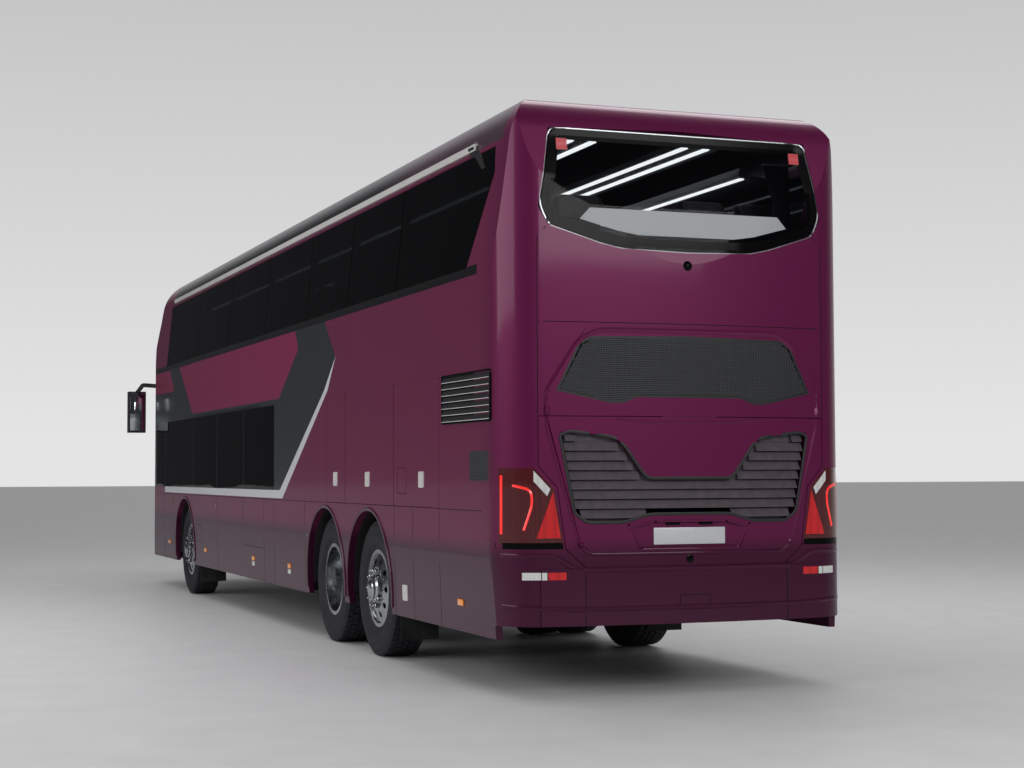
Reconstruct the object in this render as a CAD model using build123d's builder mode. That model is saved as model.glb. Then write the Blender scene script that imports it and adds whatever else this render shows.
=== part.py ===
from build123d import *
from math import atan2, cos, degrees, radians, sin, sqrt, tan
import os

os.makedirs("parts", exist_ok=True)

# Overall sizes, in millimetres. Distances called "from the rear" start at the rear bumper.
REAR_OVERHANG = 3210
TAG_TO_DRIVE = 1350
WHEELBASE = 6700
FRONT_OVERHANG = 2740
WIDTH = 2550
HEIGHT = 4000
MIRROR_AHEAD = 110

TAG_AXLE = REAR_OVERHANG
DRIVE_AXLE = TAG_AXLE + TAG_TO_DRIVE
FRONT_AXLE = DRIVE_AXLE + WHEELBASE
LENGTH = FRONT_AXLE + FRONT_OVERHANG
HALF_WIDTH = WIDTH / 2
REAR_X = -(LENGTH + MIRROR_AHEAD) / 2

# Heights of the body's lines
SKIRT_Z = 380
TUCK_Z = 900
BUMPER_TOP_Z = 840
FLAP_BOTTOM_Z = 1205
FLAP_TOP_Z = 2130
DECK_LINE_Z = 2175
SILL_Z = 2820
WINDOW_TOP_Z = 3620
CANTRAIL_Z = 3650
CANTRAIL_LEAN = 78
SKIRT_TUCK = 20

# Body shell
WALL = 50
GLASS = 10
SEAT_GAP = 0.3
PANE_GAP = 12
PILLAR = 110
PANEL_GAP = 5
HINGE_ROD = PANEL_GAP / 2 - SEAT_GAP
REAR_CORNER = 300
REAR_BOW_RADIUS = 8000
REAR_SETBACK = 15
FRONT_CORNER = 480
FRONT_BOW_RADIUS = 3600
ROOF_EDGE = 160
ROOF_DROP = 80
FRONT_SPLIT = LENGTH - 650

# Wheels and axles
TYRE_RADIUS = 538
TYRE_WIDTH = 312
RIM_RADIUS = 292
TWIN_PITCH = 350
WHEEL_FACE = 1216
ARCH_RADIUS = 622
STEER_OFFSET = 139
WELL_INNER = 500
AXLE_RADIUS = 62
STUB_RADIUS = 45
RUNNING_GAP = 0.06

# Doors and floor
RAIL_Y = 350
RAIL_WIDTH = 80
RAIL_BOTTOM_Z = 830
FLOOR_Z = 440
FLOOR = 40
HOLD_FLOOR_Z = 1195
HOLD_FLOOR = 25
UPPER_FLOOR_Z = 2265
UPPER_FLOOR = 50
DOOR_TOP_Z = 2140
DOOR_BOTTOM_Z = 470
DOOR_GAP = 8
ARM_LENGTH = 420
ARM_INSET = 125
ARM_RADIUS = 17


def from_rear(distance):
    return REAR_X + distance


def section_outline(inset):
    """Body across the coach: skirt, side, leaning window band, rounded edge and crowned roof."""
    side_half = HALF_WIDTH - inset
    cantrail = side_half - CANTRAIL_LEAN
    bottom = SKIRT_Z - (WALL if inset else 0)
    roof_edge = (cantrail - ROOF_EDGE, HEIGHT - ROOF_DROP - inset)
    with BuildSketch(Plane.YZ) as section:
        with BuildLine():
            side = Polyline(
                (0, bottom),
                (side_half - SKIRT_TUCK, bottom),
                (side_half, TUCK_Z),
                (side_half, SILL_Z),
                (cantrail, CANTRAIL_Z),
            )
            TangentArc(side @ 1, roof_edge, tangent=side % 1)
            ThreePointArc(roof_edge, (roof_edge[0] / 2, HEIGHT - ROOF_DROP / 4 - inset), (0, HEIGHT - inset))
            mirror(about=Plane.YZ)
        make_face()
    return section.sketch


def bowed_end(tip, bow_radius, corner_radius, inset, inward):
    """Middle, corner and side point of a bowed end whose corners are tangent to the bow and the side."""
    bow_centre = tip + inward * bow_radius
    corner_y = HALF_WIDTH - corner_radius
    reach = sqrt((bow_radius - corner_radius) ** 2 - corner_y**2)
    corner_centre = bow_centre - inward * reach
    scale = (bow_radius - inset) / (bow_radius - corner_radius)
    corner = (bow_centre + (corner_centre - bow_centre) * scale, corner_y * scale)
    return (tip + inward * inset, 0), corner, (corner_centre, HALF_WIDTH - inset)


def plan_outline(inset):
    """Body seen from above: bowed rear with rounded corners, bowed front with wide corners."""
    ends = (
        (bowed_end(from_rear(REAR_SETBACK), REAR_BOW_RADIUS, REAR_CORNER, inset, 1), -1),
        (bowed_end(from_rear(LENGTH), FRONT_BOW_RADIUS, FRONT_CORNER, inset, -1), 1),
    )
    with BuildSketch(Plane.XY) as plan:
        with BuildLine():
            for (middle, corner, side), heading in ends:
                ThreePointArc((corner[0], -corner[1]), middle, corner)
                TangentArc(side, corner, tangent=(heading, 0))
                TangentArc((side[0], -side[1]), (corner[0], -corner[1]), tangent=(heading, 0))
            for turn in (-1, 1):
                Line(*[(side[0], turn * side[1]) for (middle, corner, side), heading in ends])
        make_face()
    return plan.sketch


def profile_outline(inset):
    """Body seen from the side: upright rear that curves in at the top, front that leans back."""
    # Columns: distance from the rear, height, and the way that the surface faces there
    rear = ((0, 2650, -1, 0), (45, 3200, -1, 0), (130, 3700, -1, 0.2), (205, 3850, -0.7, 0.7), (380, 3930, -0.2, 1))
    roof = ((1100, HEIGHT, 0, 1), (LENGTH - 1500, HEIGHT, 0, 1))
    brow = ((LENGTH - 930, HEIGHT - 140, 0.5, 0.85), (LENGTH - 620, HEIGHT - 520, 0.85, 0.5))
    screen = ((LENGTH - 290, 2880, 0.95, 0.3), (LENGTH - 110, 2200, 1, 0.1))
    nose = ((LENGTH, 1050, 1, 0), (LENGTH, 0, 1, 0))

    def inset_points(rows):
        return [(from_rear(x) - inset * out_x, z - inset * out_z) for x, z, out_x, out_z in rows]

    rear, roof, brow, screen, nose = [inset_points(rows) for rows in (rear, roof, brow, screen, nose)]
    with BuildSketch(Plane.XZ) as profile:
        with BuildLine():
            Polyline((from_rear(inset), 0), *rear[:3])
            ThreePointArc(*rear[2:])
            Polyline(rear[4], *roof)
            ThreePointArc(roof[1], *brow)
            ThreePointArc(brow[1], *screen)
            Polyline(screen[1], *nose, (from_rear(inset), 0))
        make_face()
    return profile.sketch


def envelope(inset):
    """The body's outer form, shrunk by the inset all round but open below, as the body is."""
    with BuildPart() as form:
        extrude(section_outline(inset), amount=LENGTH, both=True)
        extrude(plan_outline(inset), amount=HEIGHT + WALL, both=True, mode=Mode.INTERSECT)
        extrude(profile_outline(inset), amount=WIDTH, both=True, mode=Mode.INTERSECT)
    return form.part


outer_form = envelope(0)
glass_form = envelope(GLASS)
seat_form = envelope(GLASS + SEAT_GAP)
inner_form = envelope(WALL)


def side_region(points, side):
    """Block whose outline is drawn from the side, on one side of the coach's middle or across it (0)."""
    with BuildPart() as region:
        with BuildSketch(Plane.XZ.offset(-side * WIDTH)):
            with BuildLine():
                Polyline([(from_rear(x), z) for x, z in points], close=True)
            make_face()
        extrude(amount=WIDTH, both=True)
    return region.part


def end_region(half_points, start, end, by=0):
    """Block whose outline is drawn from behind, mirrored about the middle and grown by an amount."""
    with BuildPart() as region:
        with BuildSketch(Plane.YZ.offset(from_rear(start))):
            with BuildLine():
                Polyline(half_points)
                mirror(about=Plane.YZ)
            make_face()
            if by:
                offset(amount=by, kind=Kind.INTERSECTION)
        extrude(amount=end - start)
    return region.part


def rear_region(half_points, by=0, depth=900):
    return end_region(half_points, -WALL, depth, by)


# Shell pieces. Each takes its slice of the wall between the outer and the inner form.
with BuildPart() as wall_form:
    add(outer_form)
    add(inner_form, mode=Mode.SUBTRACT)

# Upper windows: dividers from the rear, with a slanted rear end
UPPER_DIVIDERS = (2450, 3850, 5250, 6950, 8790, 10620)
UPPER_FRONT = LENGTH - 1380
BAND_BOTTOM = SILL_Z + 20
REAR_SLANT = ((820, BAND_BOTTOM), (400, 3440), (430, WINDOW_TOP_Z))
BAND = (*REAR_SLANT, (UPPER_FRONT, WINDOW_TOP_Z), (UPPER_FRONT, BAND_BOTTOM))

# Lower windows on each side: front and rear end of each pane, from the rear
LOWER_BOTTOM = 1290
LOWER_TOP = 2130
DRIVER_REAR = LENGTH - 1340
DRIVER_FRONT = LENGTH - 690
LEFT_PANES = ((6490, 7900), (7900, 9300), (9300, 10700), (10700, DRIVER_REAR), (DRIVER_REAR, DRIVER_FRONT))
MID_DOOR = (5330, 6380)
FRONT_DOOR = (FRONT_AXLE + 810, FRONT_AXLE + 1830)
RIGHT_PANES = ((6560, 7900), (7900, 9300), (9300, 10700), (10700, FRONT_DOOR[0] - 120))

# Luggage flaps from the rear: the left side has three, the right side two
LEFT_FLAPS = ((1400, 2500), (2500, 3900), (3900, 4490))
RIGHT_FLAPS = ((1400, 2500), (2500, 3900))


def pane_points(rear, front, bottom, top, margin):
    return (
        (rear + margin, bottom + margin),
        (front - margin, bottom + margin),
        (front - margin, top - margin),
        (rear + margin, top - margin),
    )


def upper_panes(margin):
    """Outlines of the upper panes, each drawn in by the margin."""
    ends = (*UPPER_DIVIDERS, UPPER_FRONT)
    low = BAND_BOTTOM + margin
    high = WINDOW_TOP_Z - margin
    slant_low = REAR_SLANT[0][0] + margin
    slant_high = REAR_SLANT[1][0] + margin
    first = (
        (slant_low, low),
        (ends[0] - margin, low),
        (ends[0] - margin, high),
        (REAR_SLANT[2][0] + margin, high),
        (slant_high, REAR_SLANT[1][1]),
    )
    rest = [pane_points(rear, front, BAND_BOTTOM, WINDOW_TOP_Z, margin) for rear, front in zip(ends, ends[1:])]
    return [first, *rest]


def side_glass(panes, side):
    """Panes that lie flush in the wall, with a joint between neighbours."""
    with BuildPart() as glass:
        for points in panes:
            add(side_region(points, side))
        add(outer_form, mode=Mode.INTERSECT)
        add(seat_form, mode=Mode.SUBTRACT)
    return glass.part


def seat_block(region):
    """What is taken out of a wall so that the glass lies flush in it."""
    with BuildPart() as seat:
        add(region)
        add(seat_form, mode=Mode.SUBTRACT)
    return seat.part


def window_cutters(seats, holes, side):
    """The seat and the opening of each pane, to be taken out of a side wall."""
    return [
        *[seat_block(side_region(points, side)) for points in seats],
        *[side_region(points, side) for points in holes],
    ]


sides = {"left": 1, "right": -1}
REAR_SPLIT = 300
FRAME_EDGE = PILLAR / 2
JOINT = PANE_GAP / 2

for name, side in sides.items():
    panes = LEFT_PANES if side > 0 else RIGHT_PANES
    flaps = LEFT_FLAPS if side > 0 else RIGHT_FLAPS
    lower = [pane_points(rear, front, LOWER_BOTTOM, LOWER_TOP, JOINT) for rear, front in panes]
    lower_holes = [pane_points(rear, front, LOWER_BOTTOM, LOWER_TOP, FRAME_EDGE) for rear, front in panes]

    # Lower wall: skirt, wheel arches, flap and door openings, lower windows
    with BuildPart() as wall:
        add(side_region(((REAR_SPLIT, 0), (FRONT_SPLIT, 0), (FRONT_SPLIT, DECK_LINE_Z), (REAR_SPLIT, DECK_LINE_Z)), side))
        add(wall_form.part, mode=Mode.INTERSECT)
        with BuildSketch(Plane.XZ):
            with Locations(*[(from_rear(x), TYRE_RADIUS) for x in (TAG_AXLE, DRIVE_AXLE, FRONT_AXLE)]):
                Circle(ARCH_RADIUS)
        extrude(amount=WIDTH, both=True, mode=Mode.SUBTRACT)
        add(window_cutters(lower, lower_holes, side), mode=Mode.SUBTRACT)
        for rear, front in flaps:
            add(side_region(pane_points(rear, front, FLAP_BOTTOM_Z, FLAP_TOP_Z, 0), side), mode=Mode.SUBTRACT)
        if side < 0:
            for rear, front in (MID_DOOR, FRONT_DOOR):
                add(side_region(pane_points(rear, front, 0, DOOR_TOP_Z, 0), side), mode=Mode.SUBTRACT)
        for rear, front in flaps:
            rod_end = (from_rear(rear + 30), side * (HALF_WIDTH - HINGE_ROD), FLAP_TOP_Z - PANEL_GAP / 2)
            with BuildSketch(Plane(origin=rod_end, z_dir=(1, 0, 0))):
                Circle(HINGE_ROD)
            extrude(amount=front - rear - 60)
    wall.part.label = f"{name}_side_lower"
    export_step(wall.part, f"parts/{name}_side_lower.step")

    # Upper wall: belt, window pillars behind the glass, cantrail
    with BuildPart() as wall:
        front_edge = ((FRONT_SPLIT, DECK_LINE_Z), (FRONT_SPLIT, SILL_Z), (UPPER_FRONT, SILL_Z), (UPPER_FRONT, CANTRAIL_Z))
        add(side_region(((REAR_SPLIT, DECK_LINE_Z), *front_edge, (REAR_SPLIT, CANTRAIL_Z)), side))
        add(wall_form.part, mode=Mode.INTERSECT)
        add(window_cutters([BAND], upper_panes(FRAME_EDGE), side), mode=Mode.SUBTRACT)
    wall.part.label = f"{name}_side_upper"
    export_step(wall.part, f"parts/{name}_side_upper.step")

    # Glass of both decks
    with BuildPart() as windows:
        add(side_glass([*upper_panes(JOINT), *lower], side))
    windows.part.label = f"{name}_windows"
    export_step(windows.part, f"parts/{name}_windows.step")

    # Luggage flaps
    for number, (rear, front) in enumerate(flaps, start=1):
        with BuildPart() as flap:
            add(side_region(pane_points(rear, front, FLAP_BOTTOM_Z, FLAP_TOP_Z, PANEL_GAP), side))
            add(wall_form.part, mode=Mode.INTERSECT)
        flap.part.label = f"{name}_luggage_flap_{number}"
        export_step(flap.part, f"parts/{name}_luggage_flap_{number}.step")

# Roof: everything above the cantrail, behind the front glass
with BuildPart() as roof:
    roof_front = LENGTH - 1500
    points = ((REAR_SPLIT, CANTRAIL_Z), (roof_front, CANTRAIL_Z), (roof_front, HEIGHT + WALL), (REAR_SPLIT, HEIGHT + WALL))
    add(side_region(points, 0))
    add(wall_form.part, mode=Mode.INTERSECT)
roof.part.label = "roof"
export_step(roof.part, "parts/roof.step")

# Front: mask with both windscreens cut, bumper below
SCREENS = (
    ((0, 1130), (1090, 1130), (1150, 1500), (1150, 2080), (0, 2080)),
    ((0, 2560), (1120, 2560), (1120, 3560), (1040, 3700), (0, 3700)),
)
FRONT_BUMPER_TOP = 880
HEADLAMP = ((700, 620), (1130, 640), (1130, 800), (820, 790), (700, 740))
TOW_RADIUS = 20
TOW_DEPTH = 90
TOW_BOSS = 45
TOW_Z = 560


def front_region(half_points, by=0):
    return end_region(half_points, LENGTH - 1450, LENGTH + WALL, by)


def front_slice(bottom):
    edge = ((FRONT_SPLIT, bottom), (FRONT_SPLIT, SILL_Z), (UPPER_FRONT, SILL_Z), (UPPER_FRONT, CANTRAIL_Z))
    top = HEIGHT + WALL
    tail = ((LENGTH - 1500, CANTRAIL_Z), (LENGTH - 1500, top), (LENGTH + WALL, top), (LENGTH + WALL, bottom))
    return side_region((*edge, *tail), 0)


with BuildPart() as front_mask:
    add(front_slice(FRONT_BUMPER_TOP))
    add(wall_form.part, mode=Mode.INTERSECT)
    for half_points in SCREENS:
        add(seat_block(front_region(half_points)), mode=Mode.SUBTRACT)
        add(front_region(half_points, -FRAME_EDGE), mode=Mode.SUBTRACT)
front_mask.part.label = "front_mask"
export_step(front_mask.part, "parts/front_mask.step")

with BuildPart() as windscreens:
    for half_points in SCREENS:
        add(front_region(half_points, -JOINT))
    add(outer_form, mode=Mode.INTERSECT)
    add(seat_form, mode=Mode.SUBTRACT)
windscreens.part.label = "windscreens"
export_step(windscreens.part, "parts/windscreens.step")



def headlamp_region(side, by=0):
    middle = sum(z for y, z in HEADLAMP) / len(HEADLAMP)
    centre = sum(y for y, z in HEADLAMP) / len(HEADLAMP)
    points = [(y + (by if y > centre else -by), z + (by if z > middle else -by)) for y, z in HEADLAMP]
    with BuildPart() as region:
        with BuildSketch(Plane.YZ.offset(from_rear(LENGTH - 600))):
            with BuildLine():
                Polyline([(side * y, z) for y, z in points], close=True)
            make_face()
        extrude(amount=600 + WALL)
    return region.part


# The bumper carries the screw socket of the towing eye on a boss behind its wall
with BuildPart() as front_bumper:
    points = ((FRONT_SPLIT, 0), (LENGTH + WALL, 0), (LENGTH + WALL, FRONT_BUMPER_TOP), (FRONT_SPLIT, FRONT_BUMPER_TOP))
    add(side_region(points, 0))
    add(wall_form.part, mode=Mode.INTERSECT)
    for side in (-1, 1):
        add(headlamp_region(side), mode=Mode.SUBTRACT)
    socket_plane = Plane(origin=(from_rear(LENGTH - TOW_DEPTH - 20), 0, TOW_Z), x_dir=(0, 1, 0), z_dir=(1, 0, 0))
    with BuildSketch(socket_plane):
        Circle(TOW_BOSS)
    extrude(amount=TOW_DEPTH)
    with BuildSketch(socket_plane.offset(20)):
        Circle(TOW_RADIUS)
    extrude(amount=TOW_DEPTH + WALL, mode=Mode.SUBTRACT)
front_bumper.part.label = "front_bumper"
export_step(front_bumper.part, "parts/front_bumper.step")

# Rear outlines, drawn from behind: half of each, from the middle outwards
REAR_WINDOW = ((0, 3740), (950, 3710), (1040, 3180), (970, 3060), (620, 2950), (480, 2920), (0, 2905))
MESH_GRILLE = ((0, 2352), (690, 2340), (775, 2300), (930, 1985), (560, 1905), (480, 1905), (380, 1945), (0, 1945))
BULGE = ((0, 2385), (730, 2385), (985, 1985), (990, 1830), (765, 990), (700, 940), (0, 940))
LID = ((0, 1818), (1040, 1818), (1040, 1500), (915, 1360), (860, 965), (720, 840), (0, 840))
LOUVRE = (
    (0, 1418), (290, 1418), (335, 1447), (470, 1637), (540, 1687), (840, 1725),
    (895, 1720), (910, 1680), (810, 1190), (720, 1132), (480, 1132), (290, 1185), (0, 1185),
)
PLATE_NICHE = ((0, 1140), (260, 1140), (430, 1100), (370, 957), (0, 957))
LAMP = ((1068, 1485), (1400, 1485), (1400, 1000), (877, 1000), (938, 1350))


def rear_slice(bottom, top):
    return side_region(((-WALL, bottom), (REAR_SPLIT, bottom), (REAR_SPLIT, top), (-WALL, top)), 0)


def rear_skin(depth):
    """Slab that follows the bowed rear, from the rearmost line forward."""
    with BuildPart() as skin:
        with BuildSketch(Plane.XY):
            with BuildLine():
                half = HALF_WIDTH - REAR_CORNER + 60
                bow = REAR_BOW_RADIUS - sqrt(REAR_BOW_RADIUS**2 - half**2)
                outer = ThreePointArc((from_rear(bow), -half), (from_rear(0), 0), (from_rear(bow), half))
                inner = ThreePointArc(
                    (from_rear(bow + depth), -half), (from_rear(depth), 0), (from_rear(bow + depth), half)
                )
                Line(outer @ 0, inner @ 0)
                Line(outer @ 1, inner @ 1)
            make_face()
        extrude(amount=HEIGHT)
    return skin.part


def lamp_region(side, margin=0):
    with BuildPart() as region:
        with BuildSketch(Plane.YZ.offset(from_rear(-WALL))):
            with BuildLine():
                Polyline([(side * y, z) for y, z in LAMP], close=True)
            make_face()
            if margin:
                offset(amount=-margin, kind=Kind.INTERSECTION)
        extrude(amount=WALL + 260)
    return region.part


with BuildPart() as raised:
    add(rear_region(BULGE))
    add(rear_skin(WALL), mode=Mode.INTERSECT)

with BuildPart() as rear_frame:
    add(rear_slice(BUMPER_TOP_Z + 130, HEIGHT + WALL))
    add(wall_form.part, mode=Mode.INTERSECT)
    add(raised.part)
    add(seat_block(rear_region(REAR_WINDOW)), mode=Mode.SUBTRACT)
    add(rear_region(REAR_WINDOW, -FRAME_EDGE), mode=Mode.SUBTRACT)
    add(rear_region(MESH_GRILLE), mode=Mode.SUBTRACT)
    add(rear_region(LID, PANEL_GAP), mode=Mode.SUBTRACT)
    for side in (-1, 1):
        add(lamp_region(side), mode=Mode.SUBTRACT)
    with BuildSketch(Plane(origin=(from_rear(HINGE_ROD), -200, LID[0][1] + PANEL_GAP / 2), z_dir=(0, 1, 0))):
        Circle(HINGE_ROD)
    extrude(amount=400)
rear_frame.part.label = "rear_frame"
export_step(rear_frame.part, "parts/rear_frame.step")

with BuildPart() as rear_glass:
    add(rear_region(REAR_WINDOW, -JOINT))
    add(outer_form, mode=Mode.INTERSECT)
    add(seat_form, mode=Mode.SUBTRACT)
rear_glass.part.label = "rear_glass"
export_step(rear_glass.part, "parts/rear_glass.step")


# Mesh grille above the lid: a rim and crossed bars
MESH_RIM = 16
MESH_PITCH = 62
MESH_BAR = 8

with BuildPart() as mesh_holes:
    with BuildSketch(Plane.YZ.offset(from_rear(-WALL))):
        with BuildLine():
            Polyline(MESH_GRILLE)
            mirror(about=Plane.YZ)
        make_face()
        offset(amount=-MESH_RIM, kind=Kind.INTERSECTION)
        columns = 2 * round(MESH_GRILLE[3][0] / MESH_PITCH) + 1
        middle_z = (MESH_GRILLE[0][1] + MESH_GRILLE[4][1]) / 2
        for column in range(columns):
            with Locations(((column - (columns - 1) / 2) * MESH_PITCH, middle_z)):
                Rectangle(MESH_BAR, 600, mode=Mode.SUBTRACT)
        for row in range(-3, 4):
            with Locations((0, middle_z + row * MESH_PITCH)):
                Rectangle(WIDTH, MESH_BAR, mode=Mode.SUBTRACT)
    extrude(amount=4 * WALL)

with BuildPart() as mesh_grille:
    add(rear_region(MESH_GRILLE, -SEAT_GAP))
    add(rear_skin(WALL / 2), mode=Mode.INTERSECT)
    add(mesh_holes.part, mode=Mode.SUBTRACT)
mesh_grille.part.label = "mesh_grille"
export_step(mesh_grille.part, "parts/mesh_grille.step")

# Engine lid, hinged along its top edge, with a raised frame and a niche for the plate
with BuildPart() as lid_frame:
    add(rear_region(LID))
    add(wall_form.part, mode=Mode.INTERSECT)

with BuildPart() as lid_raised:
    add(rear_region(BULGE))
    add(rear_region(LID), mode=Mode.INTERSECT)
    add(rear_skin(WALL), mode=Mode.INTERSECT)

with BuildPart() as engine_lid:
    add(lid_frame.part)
    add(lid_raised.part)
    add(rear_region(LOUVRE), mode=Mode.SUBTRACT)
    add(rear_region(PLATE_NICHE, depth=22), mode=Mode.SUBTRACT)
engine_lid.part.label = "engine_lid"
export_step(engine_lid.part, "parts/engine_lid.step")

# Louvre grille: sloping slats between two end rims, set in the lid
SLATS = 8
SLAT_DEPTH = 40
SLAT_THICK = 7
SLAT_SLOPE = 32

with BuildPart() as slats:
    for slat in range(SLATS):
        z = 1225 + slat * (1700 - 1225) / (SLATS - 1)
        with Locations(Location((from_rear(WALL / 2 + 20), 0, z), (0, SLAT_SLOPE, 0))):
            Box(3 * SLAT_DEPTH, 2 * HALF_WIDTH, SLAT_THICK)
    add(rear_region(LOUVRE, -MESH_RIM / 2), mode=Mode.INTERSECT)

with BuildPart() as louvre_grille:
    add(rear_region(LOUVRE, -SEAT_GAP))
    add(rear_region(LOUVRE, -MESH_RIM), mode=Mode.SUBTRACT)
    add(slats.part)
    add(rear_skin(WALL), mode=Mode.INTERSECT)
louvre_grille.part.label = "louvre_grille"
export_step(louvre_grille.part, "parts/louvre_grille.step")

# Rear bumper: wraps round both corners and carries the low lamps
BUMPER_BOTTOM = 470

with BuildPart() as bumper_raised:
    add(rear_region(((0, BUMPER_TOP_Z - PANEL_GAP), (1030, BUMPER_TOP_Z - PANEL_GAP), (1030, BUMPER_BOTTOM), (0, BUMPER_BOTTOM))))
    add(rear_skin(WALL), mode=Mode.INTERSECT)

with BuildPart() as rear_bumper:
    add(rear_slice(BUMPER_BOTTOM, BUMPER_TOP_Z + 130))
    add(wall_form.part, mode=Mode.INTERSECT)
    add(rear_region(LID, PANEL_GAP), mode=Mode.SUBTRACT)
    add(bumper_raised.part)
rear_bumper.part.label = "rear_bumper"
export_step(rear_bumper.part, "parts/rear_bumper.step")

# Tail lamps: one block in each rear corner
with BuildPart() as tail_lamps:
    for side in (-1, 1):
        add(lamp_region(side, SEAT_GAP))
    add(wall_form.part, mode=Mode.INTERSECT)
tail_lamps.part.label = "tail_lamps"
export_step(tail_lamps.part, "parts/tail_lamps.step")

# Headlamps: slanting blocks let into the front bumper's corners
with BuildPart() as headlamps:
    for side in (-1, 1):
        add(headlamp_region(side, -SEAT_GAP))
    add(wall_form.part, mode=Mode.INTERSECT)
headlamps.part.label = "headlamps"
export_step(headlamps.part, "parts/headlamps.step")

# Wheels
def tyre_profile(plane, centre_y):
    """Half tyre section, revolved: tread, rounded shoulders, bulging walls and beads."""
    half = TYRE_WIDTH / 2
    with BuildSketch(plane) as profile:
        with BuildLine():
            Polyline(
                (centre_y - half * 0.72, RIM_RADIUS),
                (centre_y + half * 0.72, RIM_RADIUS),
                (centre_y + half, RIM_RADIUS + 120),
                (centre_y + half * 0.9, TYRE_RADIUS - 22),
                (centre_y + half * 0.78, TYRE_RADIUS),
                (centre_y - half * 0.78, TYRE_RADIUS),
                (centre_y - half * 0.9, TYRE_RADIUS - 22),
                (centre_y - half, RIM_RADIUS + 120),
                close=True,
            )
        make_face()
    return profile.sketch


def wheel_plane(axle):
    """Plane across the coach at an axle: first axis to the left, second axis up, from the wheel's centre."""
    return Plane(origin=(from_rear(axle), 0, TYRE_RADIUS), x_dir=(0, 1, 0), z_dir=(1, 0, 0))


def make_tyre(name, axle, centres):
    with BuildPart() as tyre:
        for centre in centres:
            add(tyre_profile(wheel_plane(axle), centre))
        revolve(axis=Axis((from_rear(axle), 0, TYRE_RADIUS), (0, 1, 0)))
    tyre.part.label = f"{name}_tyre"
    export_step(tyre.part, f"parts/{name}_tyre.step")


HUB_RADIUS = 110
DISC = 12
HAND_HOLES = 10
HAND_HOLE = 24
HAND_CIRCLE = 215
KINGPIN = 24
KINGPIN_BOSS = 60


def make_rim(name, axle, discs, side, hub_in, hub_out):
    """Rim barrels, their discs with hand holes, and the hub. Each disc gives its tyre's middle, then how
    far outwards the disc lies at the hub and at the barrel."""
    spin_axis = Axis((from_rear(axle), 0, TYRE_RADIUS), (0, 1, 0))
    half = TYRE_WIDTH / 2 * 0.72
    outer = RIM_RADIUS - SEAT_GAP
    with BuildPart() as rim:
        with BuildSketch(wheel_plane(axle)):
            for centre, at_hub, at_barrel in discs:
                barrel = (
                    (half + 14, outer + 18), (half + 10, outer + 18), (half + 2, outer),
                    (-half - 2, outer), (-half - 10, outer + 18), (-half - 14, outer + 18),
                    (-half - 14, outer - 12), (half + 14, outer - 12),
                )
                with BuildLine():
                    Polyline([(side * (centre + y), z) for y, z in barrel], close=True)
                make_face()
                disc = (
                    (at_hub, HUB_RADIUS - 5), (at_hub, HUB_RADIUS + 60), (at_barrel, outer - 6),
                    (at_barrel - DISC, outer - 6), (at_hub - DISC, HUB_RADIUS + 60), (at_hub - DISC, HUB_RADIUS - 5),
                )
                with BuildLine():
                    Polyline([(side * (centre + y), z) for y, z in disc], close=True)
                make_face()
            centre = discs[0][0]
            hub = (
                (hub_in, STUB_RADIUS + RUNNING_GAP), (hub_out - 30, STUB_RADIUS + RUNNING_GAP), (hub_out - 30, 0),
                (hub_out, 0), (hub_out, HUB_RADIUS - 25), (hub_out - 25, HUB_RADIUS), (hub_in, HUB_RADIUS),
            )
            with BuildLine():
                Polyline([(side * (centre + y), z) for y, z in hub], close=True)
            make_face()
        revolve(axis=spin_axis)
        with BuildSketch(Plane(origin=spin_axis.position, x_dir=(1, 0, 0), z_dir=(0, 1, 0))):
            with PolarLocations(HAND_CIRCLE, HAND_HOLES):
                Circle(HAND_HOLE)
        extrude(amount=HALF_WIDTH, both=True, mode=Mode.SUBTRACT)
        split(bisect_by=Plane.XZ, keep=Keep.BOTTOM if side > 0 else Keep.TOP)
    rim.part.label = f"{name}_rim"
    export_step(rim.part, f"parts/{name}_rim.step")


def knuckle(name, axle, centre, side, reach):
    """Upright on the kingpin with the stub axle that the hub turns on."""
    kingpin_y = side * (centre - STEER_OFFSET)
    stub_plane = Plane(origin=(from_rear(axle), kingpin_y, TYRE_RADIUS), x_dir=(1, 0, 0), z_dir=(0, side, 0))
    with BuildPart() as upright:
        with Locations((from_rear(axle), kingpin_y, TYRE_RADIUS)):
            Cylinder(KINGPIN_BOSS, 300)
        with BuildSketch(stub_plane):
            Circle(88)
        extrude(amount=STEER_OFFSET - 60)
        with BuildSketch(stub_plane):
            Circle(STUB_RADIUS)
        extrude(amount=STEER_OFFSET + reach)
        with Locations((from_rear(axle), kingpin_y, TYRE_RADIUS)):
            Cylinder(KINGPIN, 400, mode=Mode.SUBTRACT)
    upright.part.label = f"{name}_knuckle"
    export_step(upright.part, f"parts/{name}_knuckle.step")


WHEEL_CENTRE = WHEEL_FACE - TYRE_WIDTH / 2
TWIN_INNER = WHEEL_CENTRE - TWIN_PITCH
STEERED_DISC = 140
DRIVE_DISC = -168
HUB_IN = -52
HUB_OUT = 186
for name, side in sides.items():
    for axle_name, axle in (("front", FRONT_AXLE), ("tag", TAG_AXLE)):
        wheel_name = f"{axle_name}_{name}"
        make_tyre(wheel_name, axle, [side * WHEEL_CENTRE])
        make_rim(wheel_name, axle, [(WHEEL_CENTRE, STEERED_DISC, STEERED_DISC - 30)], side, HUB_IN, HUB_OUT)
        knuckle(wheel_name, axle, WHEEL_CENTRE, side, HUB_OUT - 40)
    wheel_name = f"drive_{name}"
    make_tyre(wheel_name, DRIVE_AXLE, [side * WHEEL_CENTRE, side * TWIN_INNER])
    twin_discs = [(WHEEL_CENTRE, DRIVE_DISC, -95), (TWIN_INNER, DRIVE_DISC + TWIN_PITCH, 95 + DISC)]
    make_rim(wheel_name, DRIVE_AXLE, twin_discs, side, -200, 20)

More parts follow.
